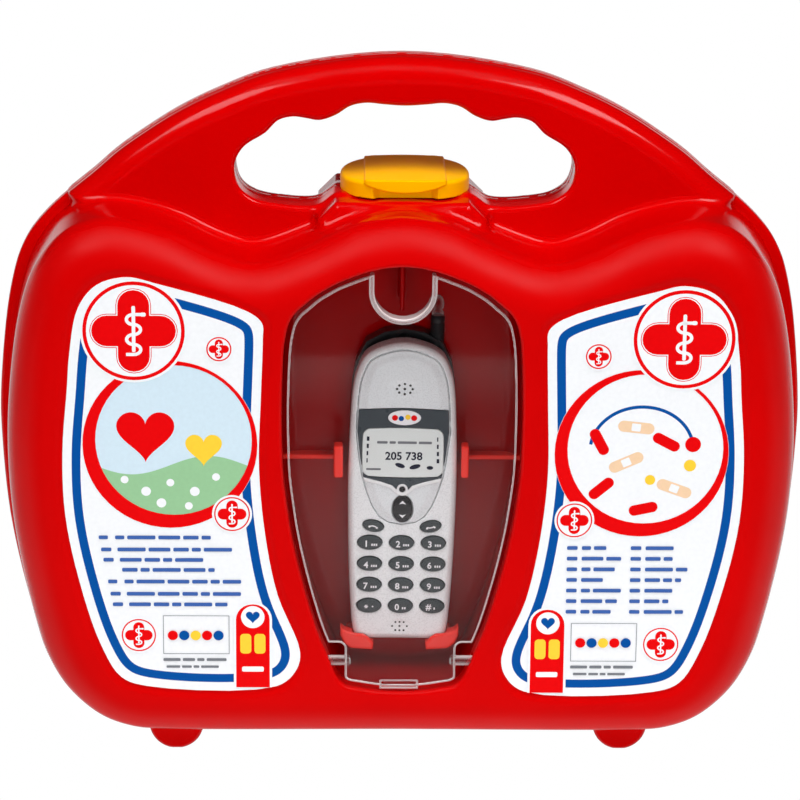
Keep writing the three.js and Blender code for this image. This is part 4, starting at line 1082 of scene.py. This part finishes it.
def stroke(points, width):
    points = np.asarray(points, float)
    along = np.gradient(points, axis=0)
    along /= np.linalg.norm(along, axis=1)[:, None]
    side = np.stack([along[:, 1], -along[:, 0]], 1) * width / 2
    right, left = points + side, points - side
    return [np.array(q) for q in zip(left, right, right[1:], left[1:])]


def cross(cx, cz, reach, arm, grow=0.0):
    """A cross with round-ended arms."""
    r, a = reach + grow, arm + grow
    corner = a * 0.98
    points = []
    for middle, first in ((corner - a, -90), (a - corner, 0)):
        for step in range(6):
            angle = math.radians(first + 18 * step)
            points.append((
                r - corner + corner * math.cos(angle), middle + corner * math.sin(angle),
            ))
    points.append((a, a))
    loop = []
    for turn in range(4):
        c, s = math.cos(math.radians(90 * turn)), math.sin(math.radians(90 * turn))
        loop += [(cx + x * c - z * s, cz + x * s + z * c) for x, z in points]
    return [np.array(loop)]


def heart(cx, cz, size):
    t = np.linspace(0, 2 * math.pi, 60, endpoint=False)
    x = 16 * np.sin(t) ** 3
    z = 13 * np.cos(t) - 5 * np.cos(2 * t) - 2 * np.cos(3 * t) - np.cos(4 * t)
    return [np.stack([cx - x * size / 16, cz + z * size / 16], 1)]


def staff(cx, cz, size):
    """A staff with a snake round it, an old sign of medicine."""
    loops = bar(cx - 0.07 * size, cx + 0.07 * size, cz - 0.85 * size, cz + size, 0.06 * size)
    path = [(0.3, 0.66), (0.15, 0.66)]
    for k in range(4):
        way = -1 if k % 2 == 0 else 1
        for bend in np.radians(np.linspace(90, -90, 13)):
            path.append((way * 0.27 * math.cos(bend), 0.46 - 0.4 * k + 0.2 * math.sin(bend)))
    path.append((-0.3, -0.94))
    loops += stroke(np.array(path) * size + (cx, cz), 0.13 * size)
    head = bar(0.26 * size, 0.48 * size, 0.58 * size, 0.74 * size, 0.07 * size)
    return loops + [head[0] + (cx, cz)]


def print_piece(name, layers, y, step=0.015, place=None):
    """Printed layers one over another; each is a list of loops and a material."""
    points, faces, marks, materials = [], [], [], []
    for depth, (loops, material) in enumerate(layers):
        if material not in materials:
            materials.append(material)
        for index, loop in enumerate(loops):
            lift = step * (depth + 1 + index / (len(loops) + 1))
            x, z = loop.T
            if np.sum(x * np.roll(z, -1) - np.roll(x, -1) * z) < 0:
                loop = loop[::-1]
            faces.append(tuple(range(len(points), len(points) + len(loop))))
            points += [(x, y - lift, z) for x, z in loop]
            marks.append(materials.index(material))
    points = np.array(points)
    if place is not None:
        points = place(points)
    obj = to_object(name, points, faces, smooth=False)
    for material in materials:
        obj.data.materials.append(material)
    for polygon, mark in zip(obj.data.polygons, marks):
        polygon.material_index = mark
    return obj


def figures(text, cx, cz, height):
    """Loops of plain figures from the built-in typeface, centred on a point."""
    curve = bpy.data.curves.new("figures", "FONT")
    curve.body = text
    curve.size = 1.0
    curve.resolution_u = 3
    curve.offset = 0.025
    obj = new_object("figures", curve)
    shape = obj.evaluated_get(bpy.context.evaluated_depsgraph_get())
    mesh = shape.to_mesh()
    points = np.array([v.co[:2] for v in mesh.vertices])
    size = points.max(0) - points.min(0)
    points = (points - (points.max(0) + points.min(0)) / 2) * height / size[1] + (cx, cz)
    loops = [points[list(p.vertices)] for p in mesh.polygons]
    shape.to_mesh_clear()
    bpy.data.objects.remove(obj)
    bpy.data.curves.remove(curve)
    return loops


def dashes(x, z, stop, height, seed):
    """A row of plain dashes, the length of words."""
    loops, count = [], seed
    while x < stop - height:
        end = min(x + height * (1.6 + 1.1 * (count * 7 % 4)), stop)
        loops += bar(x, end, z - 0.34 * height, z + 0.34 * height, 0.2 * height)
        count += 1
        x = end + 0.5 * height
    return loops


# Print on the keys, the display and the badge, and dark discs for the speaker and microphone
# holes: painted shade in place of cut holes

def key_mark(key):
    label, cx, cz, _, _, turn = key
    if label == "nav":
        up = [(cx - 1.2, 48.8), (cx, 49.1), (cx + 1.2, 48.8), (cx, 50.1)]
        down = [(cx - 1.2, 45.3), (cx, 44.0), (cx + 1.2, 45.3), (cx, 45.0)]
        return [np.array(up), np.array(down)]
    if label in ("call", "end"):
        way = 1 if label == "call" else -1
        along = np.linspace(-1, 1, 9)
        rise = cz + 0.35 * along ** 2 * -way + 0.2 * way
        loops = stroke(np.stack([cx + 1.25 * along, rise], 1), 0.42)
        for left in (cx - 1.6, cx + 0.95):
            loops += bar(left, left + 0.65, cz - 0.55, cz + 0.1, 0.2)
        return turned(loops, cx, cz, math.degrees(turn))
    if label == "star":
        loops = disc(cx + 1.3, cz - 0.1, 0.32, 16)
        for lean in (0, 60, 120):
            loops += lean_bar(cx - 0.9, cz - 0.1, -0.7, 0.7, 0.17, 0.1, lean)
        return loops
    loops = figures("#" if label == "hash" else label, cx - 1.2, cz - 0.2, 2.3)
    for k in range({"hash": 1, "0": 2}.get(label, 3)):
        left = cx + 0.5 + 0.75 * k
        loops += bar(left, left + 0.52, cz - 0.95, cz - 0.15, 0.12)
    return loops


for key in KEYS:
    front = -1.37 if key[0] == "nav" else -0.93
    layers = [(key_mark(key), ink_white)]
    mark = print_piece(f"phone_key_{key[0]}_mark", layers, front, place=phone_place)
    dress(mark, f"key_{key[0]}", "key_plastic")

bars = []
for k in range(4):
    z = 63.2 + 2.53 * k
    bars += bar(-12.15, -12.15 + 0.4 + 0.16 * k, z, z + 1.5)
    bars += bar(11.3, 11.3 + 0.9 - 0.16 * k, z, z + 1.5)
faint = dashes(-8.7, 70.3, 9.6, 1.3, 3) + dashes(-12.2, 60.9, -6.0, 1.0, 5)
ovals = turned(disc(-0.9, 62.3, 1.7, 24, 0.45), -0.9, 62.3, -18)
ovals += turned(disc(4.1, 61.9, 1.9, 24, 0.42), 4.1, 61.9, 16) + disc(9.1, 61.6, 1.1, 24, 0.6)
display_art = [(faint, ink_grey), (bars + figures("205 738", 0.3, 65.6, 2.9) + ovals, ink_dark)]
badge_art = [
    (disc(-2.9, 79.0, 1.0, 24) + disc(3.5, 79.0, 1.0, 24), ink_red),
    (disc(-0.8, 78.8, 0.9, 24), ink_blue), (disc(1.4, 79.3, 0.9, 24), ink_yellow),
]

# Dark discs drawn where the speaker and microphone holes are: painted shade of the hollows
ear_x, ear_z = 0.2, EAR_BOWL[0]
ear_holes = disc(ear_x, ear_z, 0.45, 16)
for angle in np.radians(45 * np.arange(8)):
    ear_holes += disc(ear_x + 2.6 * math.cos(angle), ear_z + 1.75 * math.sin(angle), 0.42, 16)
mouth_holes = []
for x, z in (
    (0, 0), (2.5, 0), (-2.5, 0), (1.4, 1.45), (0, 1.5), (-1.4, 1.45), (1.4, -1.45), (0, -1.5),
    (-1.4, -1.45),
):
    mouth_holes += disc(x, MOUTH_BOWL[0] + z, 0.36, 16)


def in_bowl(bowl):
    """Lays a flat print into an oval bowl on the phone's face."""
    cz, a, b, top, depth = bowl

    def place(points):
        x, _, z = points.T
        level = np.sqrt(np.maximum(1 - (x / a) ** 2 - ((z - cz) / b) ** 2, 0))
        points[:, 1] += top + depth * level
        return phone_place(points)
    return place


for name, layers, front, slot_name, place in (
    ("phone_display_print", display_art, -0.72, "screen_film", phone_place),
    ("phone_badge_print", badge_art, -1.1, "silver_plastic", phone_place),
    ("phone_ear_holes", [(ear_holes, dark_case)], -0.02, "black_plastic", in_bowl(EAR_BOWL)),
    ("phone_mouth_holes", [(mouth_holes, dark_case)], -0.02, "black_plastic", in_bowl(MOUTH_BOWL)),
):
    dress(print_piece(name, layers, front, 0.02, place), "phone", slot_name)


# Antenna

def turned_piece(name, profile, cx=11.0, cy=12.6, sides=28):
    """A profile of radius and height, turned about an upright axis."""
    angle = 2 * math.pi * np.arange(sides) / sides
    return stacked(name, [phone_place(np.stack([
        cx + r * np.cos(angle), cy + r * np.sin(angle), np.full(sides, z),
    ], 1)) for r, z in profile])


sleeve = turned_piece("phone_antenna_sleeve", [
    (2.1, 95), (2.4, 95.3), (2.4, 108.2), (2.25, 108.4), (2.25, 108.8), (2.4, 109.0), (2.4, 110.6),
    (2.1, 110.95),
])
dress(sleeve, "phone", "black_plastic", dark_case, stands_for=("phone_antenna",))
tip = turned_piece("phone_antenna_cap", [
    (1.9, 111.15), (2.1, 111.4), (2.1, 112.3), (1.5, 112.7), (1.5, 113.2), (2.05, 113.6),
    (2.1, 115.2), (1.9, 116.5), (1.4, 117.4), (0.7, 117.85), (0.15, 117.95),
])
dress(tip, "phone", "clear_plastic", clear_tip, stands_for=("phone_antenna_tip",))


# Labels: where each one's cross, picture, small signs, tab, knob and note lie, by side

LABEL_PLACES = {
    -1: (
        (-87.4, 155.1), (-76.0, 116.5),
        ((-59.8, 149.1, 4.1), (-55.8, 92.7, 5.9), (-87.0, 50.2, 5.7)),
        (-54.7, -43.5, 31.8, 61.2), (-49.1, 56.7), (-78.9, 43.6),
    ),
    1: (
        (91.6, 153.0), (78.7, 114.0),
        ((63.8, 147.1, 4.2), (57.1, 90.9, 5.9), (86.9, 47.4, 5.9)),
        (43.4, 54.6, 30.1, 59.6), (49.1, 54.8), (56.8, 41.3),
    ),
}
PICTURE_RADIUS = 27.6
TEXT_HEIGHT = 1.9


def label_plate(name, side):
    x, z = label_points(side)[::side].T
    return stacked(name, [
        np.stack([x, np.full(len(x), y), z], 1) for y in (LABEL_BACK, LABEL_FRONT)
    ], smooth=False)


def hill_picture(bx, bz):
    """Two hearts over a green hill with white dots."""
    across = np.linspace(-27.2, 27.2, 60)
    foot = -np.sqrt(PICTURE_RADIUS ** 2 - across ** 2)
    crest = np.maximum(-7 + 3.2 * np.sin(across / 8), foot)
    hill = [
        np.array([(x0, a0), (x1, a1), (x1, b1), (x0, b0)]) + (bx, bz)
        for x0, x1, a0, a1, b0, b1 in zip(across, across[1:], foot, foot[1:], crest, crest[1:])
        if b0 > a0 or b1 > a1
    ]
    dots = []
    for k, (x, z) in enumerate((
        (-15, -12), (-8, -16), (0, -13), (8, -16), (15, -11), (-3, -20), (6, -21),
    )):
        dots += disc(bx + x, bz + z, 1.3 + 0.3 * (k % 2), 24)
    return [
        (hill, ink_green), (heart(bx - 8, bz + 4, 9.5), ink_red),
        (heart(bx + 11, bz - 1, 6.0), ink_yellow), (dots, ink_white),
    ]


def plaster_picture(bx, bz):
    """Plasters, pills and drops under a blue arc."""
    arc = [(bx + 17 * math.cos(t), bz + 1 + 15 * math.sin(t)) for t in np.linspace(0.15, 3.0, 40)]
    pills, shadows, strips, pads = [], [], [], []
    for x, z, lean in ((8, 4, -28), (-13, -12, 40), (1, -19, 12), (-14, 4, -62)):
        pills += lean_bar(bx + x, bz + z, -4.8, 4.8, 1.8, 1.75, lean)
        shadows += lean_bar(bx + x, bz + z, 0, 4.8, 1.8, 1.75, lean)
    for x, z, lean in ((-5, -3, 24), (11, -12, -20), (-2, 9, -6)):
        strips += lean_bar(bx + x, bz + z, -6, 6, 1.9, 1.9, lean)
        pads += lean_bar(bx + x, bz + z, -1.5, 1.5, 1.3, 0.3, lean)
    return [
        (stroke(arc, 1.1), ink_blue), (strips, ink_skin), (pads, ink_white), (shadows, ink_grey),
        (pills + disc(*arc[0], 2.6, 28), ink_red),
        (disc(bx + 3, bz - 9, 1.7, 28) + disc(bx + 16, bz - 4, 2.0, 28), ink_yellow),
    ]


def label_text(side):
    """Rows of plain dashes in place of print."""
    text = []
    if side < 0:
        rows = (84.5, 38), (80.3, 45), (76.7, 35), (73.2, 36), (69.1, 44), (64.8, 45), (61.1, 38)
        for k, (z, length) in enumerate(rows):
            start = -99.8 + 0.72 * k
            if k != 3:
                text += dashes(start, z, start + 3.4, TEXT_HEIGHT, k)
            text += dashes(start + 5.4, z, start + length, TEXT_HEIGHT, k + 4)
        return text
    for k in range(7):
        z = 81.3 - 3.73 * k
        for j, left in enumerate((54.9, 76.0)):
            text += dashes(left, z, left + 3.5, TEXT_HEIGHT, 1)
            end = left + 13.0 + (k * 5 + j * 3) % 7
            text += dashes(left + 4.9, z, end, TEXT_HEIGHT, k * 2 + j)
    return text


def label_layers(side):
    (cx, cz), (bx, bz), small, (x0, x1, z0, z1), knob, (nx, nz) = LABEL_PLACES[side]
    emblems, roundels, stars, staffs = [], [], [], staff(cx, cz, 8.4)
    for x, z, r in small:
        emblems += disc(x, z, r + 0.7, 32)
        roundels += ring(x, z, r, r - 0.45)
        stars += cross(x, z, r * 0.8, r * 0.32)
        staffs += staff(x, z, r * 0.6)
    panel = bar(x0, x1, z0 + 3, z1, 5.4) + bar(x0, x1, z0, z1 - 8, 0.2)
    edging = bar(x0 - 0.8, x1 + 0.8, z0 + 3, z1 + 0.8, 6.2)
    edging += bar(x0 - 0.8, x1 + 0.8, z0, z1 - 8, 0.2)
    middle = (x0 + x1) / 2
    squares = bar(middle - 4.2, middle - 0.5, z0 + 12, z0 + 19, 1.2)
    squares += bar(middle + 0.5, middle + 4.2, z0 + 12, z0 + 19, 1.2)
    line = bar(middle - 3.6, middle + 3.6, z0 + 5.6, z0 + 7.4, 0.5)
    notes = []
    for left, right, foot, top in (
        (0, 22, 13.4, 13.6), (0, 22, 0, 0.2), (0, 0.2, 0, 13.6), (21.8, 22, 0, 13.6),
    ):
        notes += bar(nx + left, nx + right, nz + foot, nz + top)
    notes += dashes(nx, nz - 2.0, nx + 21, 1.5, 2) + dashes(nx + 1, nz - 4.5, nx + 20, 1.2, 6)
    layers = [
        (band(label_points(side, -3.0), label_points(side, -5.9)), ink_blue),
        (disc(bx, bz, 28.7), ink_white),
        (disc(bx, bz, PICTURE_RADIUS), ink_pale if side < 0 else ink_white),
    ]
    layers += hill_picture(bx, bz) if side < 0 else plaster_picture(bx, bz)
    layers += [
        (band(disc(bx, bz, 28.6)[0], disc(bx + 1.2, bz + 1.5, 25.6)[0]), ink_red),
        (disc(cx, cz, 17.4) + emblems, ink_white),
        (ring(cx, cz, 16.6, 15.4) + cross(cx, cz, 14.3, 5.75) + roundels, ink_red),
        (cross(cx, cz, 14.05, 5.5), ink_white), (cross(cx, cz, 13.7, 5.15) + stars, ink_red),
        (staffs, ink_white), (label_text(side), ink_text), (notes, ink_grey),
        (edging, ink_white), (panel, ink_red), (disc(*knob, 3.9, 40) + line, ink_white),
        (squares, ink_yellow), (heart(knob[0], knob[1] + 0.2, 2.3), ink_blue),
    ]
    for ink, offsets in ((ink_red, (3.2, 14.6)), (ink_blue, (7.0, 18.4)), (ink_yellow, (10.8,))):
        beads = []
        for x in offsets:
            beads += disc(nx + x, nz + 6.6, 1.7, 28)
        layers.append((beads, ink))
    return layers


for name, side in (("left", -1), ("right", 1)):
    base = label_plate(f"label_{name}_film", side)
    dress(base, "front_half", "label_print", ink_white, stands_for=(f"label_{name}",))
    art = print_piece(f"label_{name}_print", label_layers(side), LABEL_FRONT)
    dress(art, "front_half", "label_print")


# Finishes of the solids that keep their own shape

KEPT = {
    "hinge_pin_left": metal, "hinge_pin_right": metal, "latch_pin": metal,
    "phone_rear_housing": dark_case, "phone_keypad_mat": rubber,
    "phone_circuit_board": board_green, "phone_speaker": black_gloss, "phone_cell_1": metal,
    "phone_cell_2": metal, "phone_cell_3": metal, "phone_battery_cover": dark_case,
    "phone_screw_lower": metal, "phone_screw_upper": metal,
}
for name, material in KEPT.items():
    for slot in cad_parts[name].material_slots:
        slot.material = material


# Camera, at the photograph's angle

ELEVATION, AZIMUTH, ROLL = math.radians(16.5), math.radians(-1.0), math.radians(0.5)
DISTANCE, TARGET = 1200.0, np.array([0.0, 0.0, 118.5])
CASE_WIDTH, WIDTH_IN_FRAME, SENSOR = 270.0, 794 / 800, 36.0

side_way = np.array([math.cos(AZIMUTH), math.sin(AZIMUTH), 0.0])
look = np.array([
    -math.sin(AZIMUTH) * math.cos(ELEVATION), math.cos(ELEVATION) * math.cos(AZIMUTH),
    -math.sin(ELEVATION),
])
rise = np.cross(side_way, look)
right = math.cos(ROLL) * side_way + math.sin(ROLL) * rise
upward = -math.sin(ROLL) * side_way + math.cos(ROLL) * rise
place = (TARGET - DISTANCE * look) * MM
camera_data = bpy.data.cameras.new("camera")
camera_data.sensor_width = SENSOR
camera_data.lens = SENSOR * DISTANCE / CASE_WIDTH * WIDTH_IN_FRAME
camera_data.clip_start = 0.01
camera_data.clip_end = 20
camera = new_object("camera", camera_data)
camera.matrix_world = Matrix([
    *((right[k], upward[k], -look[k], place[k]) for k in range(3)), (0, 0, 0, 1),
])
bpy.context.scene.camera = camera
bpy.context.scene.view_settings.view_transform = "Standard"


# Floor, studio light and white surroundings

def floor_piece():
    """The part of the table that mirrors in the clear door; the photograph shows no ground. Hidden
    from the camera, it glows as a light from below.
    """
    half, front, back = 700.0, -560.0, 120.0
    points = [(-half, front, 0), (half, front, 0), (half, back, 0), (-half, back, 0)]
    obj = to_object("floor", points, [(0, 1, 2, 3)], smooth=False)
    material, tree, shader, _ = start_material("glowing_floor_card")
    along = part_of(tree, object_place(tree), "Y")
    # Brightness bands along Y: painted light that shapes what the clear door mirrors and how
    # strongly the floor lights the case
    middle = spread(tree, along, 0.12, 0.55, -430 * MM, -310 * MM)
    far = spread(tree, along, 0.55, 0.12, -530 * MM, -470 * MM)
    under = spread(tree, along, 0.0, 0.44, -190 * MM, -140 * MM)
    level = calc(tree, "MAXIMUM", calc(tree, "MAXIMUM", middle, far), under)
    white = mix_colour(
        tree, noise_spread(tree, 0, 1, 6.0), (0.82, 0.82, 0.82, 1), (0.9, 0.9, 0.9, 1),
    )
    tint = mix_colour(tree, level, (0.0, 0.0, 0.0, 1), white)
    tree.links.new(tint, shader.inputs["Base Color"])
    # The floor glows in its own banded colour, a light from below though it is no lamp
    tree.links.new(tint, shader.inputs["Emission Color"])
    shader.inputs["Emission Strength"].default_value = 1.0
    shader.inputs["Roughness"].default_value = 0.8
    obj.data.materials.append(material)
    obj.visible_camera = False


def softbox(name, centre, width, height, power, mirrors=False):
    data = bpy.data.lights.new(name, "AREA")
    data.shape = "RECTANGLE"
    data.size, data.size_y = width * MM, height * MM
    data.energy = power
    obj = new_object(name, data)
    way = Vector((0, 0, 120)) - Vector(centre)
    obj.rotation_euler = way.to_track_quat("-Z", "Y").to_euler()
    obj.location = [c * MM for c in centre]
    obj.visible_glossy = mirrors


floor_piece()
softbox("upper_left", (-640, -640, 1180), 620, 420, 4.2, mirrors=True)
softbox("upper_right", (640, -640, 1180), 620, 420, 6.0, mirrors=True)
softbox("overhead", (0, -350, 1350), 1200, 500, 10.5)
softbox("front_fill", (0, -1700, 400), 1400, 600, 13.2)
softbox("back_fill", (0, 1700, 500), 1400, 600, 9.0)

world = bpy.data.worlds.new("studio")
bpy.context.scene.world = world
world.use_nodes = True
tree = world.node_tree
tree.nodes.clear()
direction = node(tree, "ShaderNodeTexCoord").outputs["Generated"]
behind = spread(tree, part_of(tree, direction, "Y"), 0.0, 1.0, 0.05, 0.4)
low = spread(tree, part_of(tree, direction, "Z"), 1.0, 0.0, 0.06, 0.18)
wall = calc(tree, "MULTIPLY", behind, low)
studio = node(tree, "ShaderNodeBackground", {
    "Color": (1, 1, 1, 1), "Strength": spread(tree, wall, 0.012, 0.8, 0.0, 1.0),
}).outputs[0]
white = node(tree, "ShaderNodeBackground", {"Color": (1, 1, 1, 1), "Strength": 1.0}).outputs[0]
seen = node(tree, "ShaderNodeLightPath").outputs["Is Camera Ray"]
both = node(tree, "ShaderNodeMixShader", {0: seen, 1: studio, 2: white}).outputs[0]
world_out = tree.nodes.new("ShaderNodeOutputWorld")
tree.links.new(both, world_out.inputs[0])
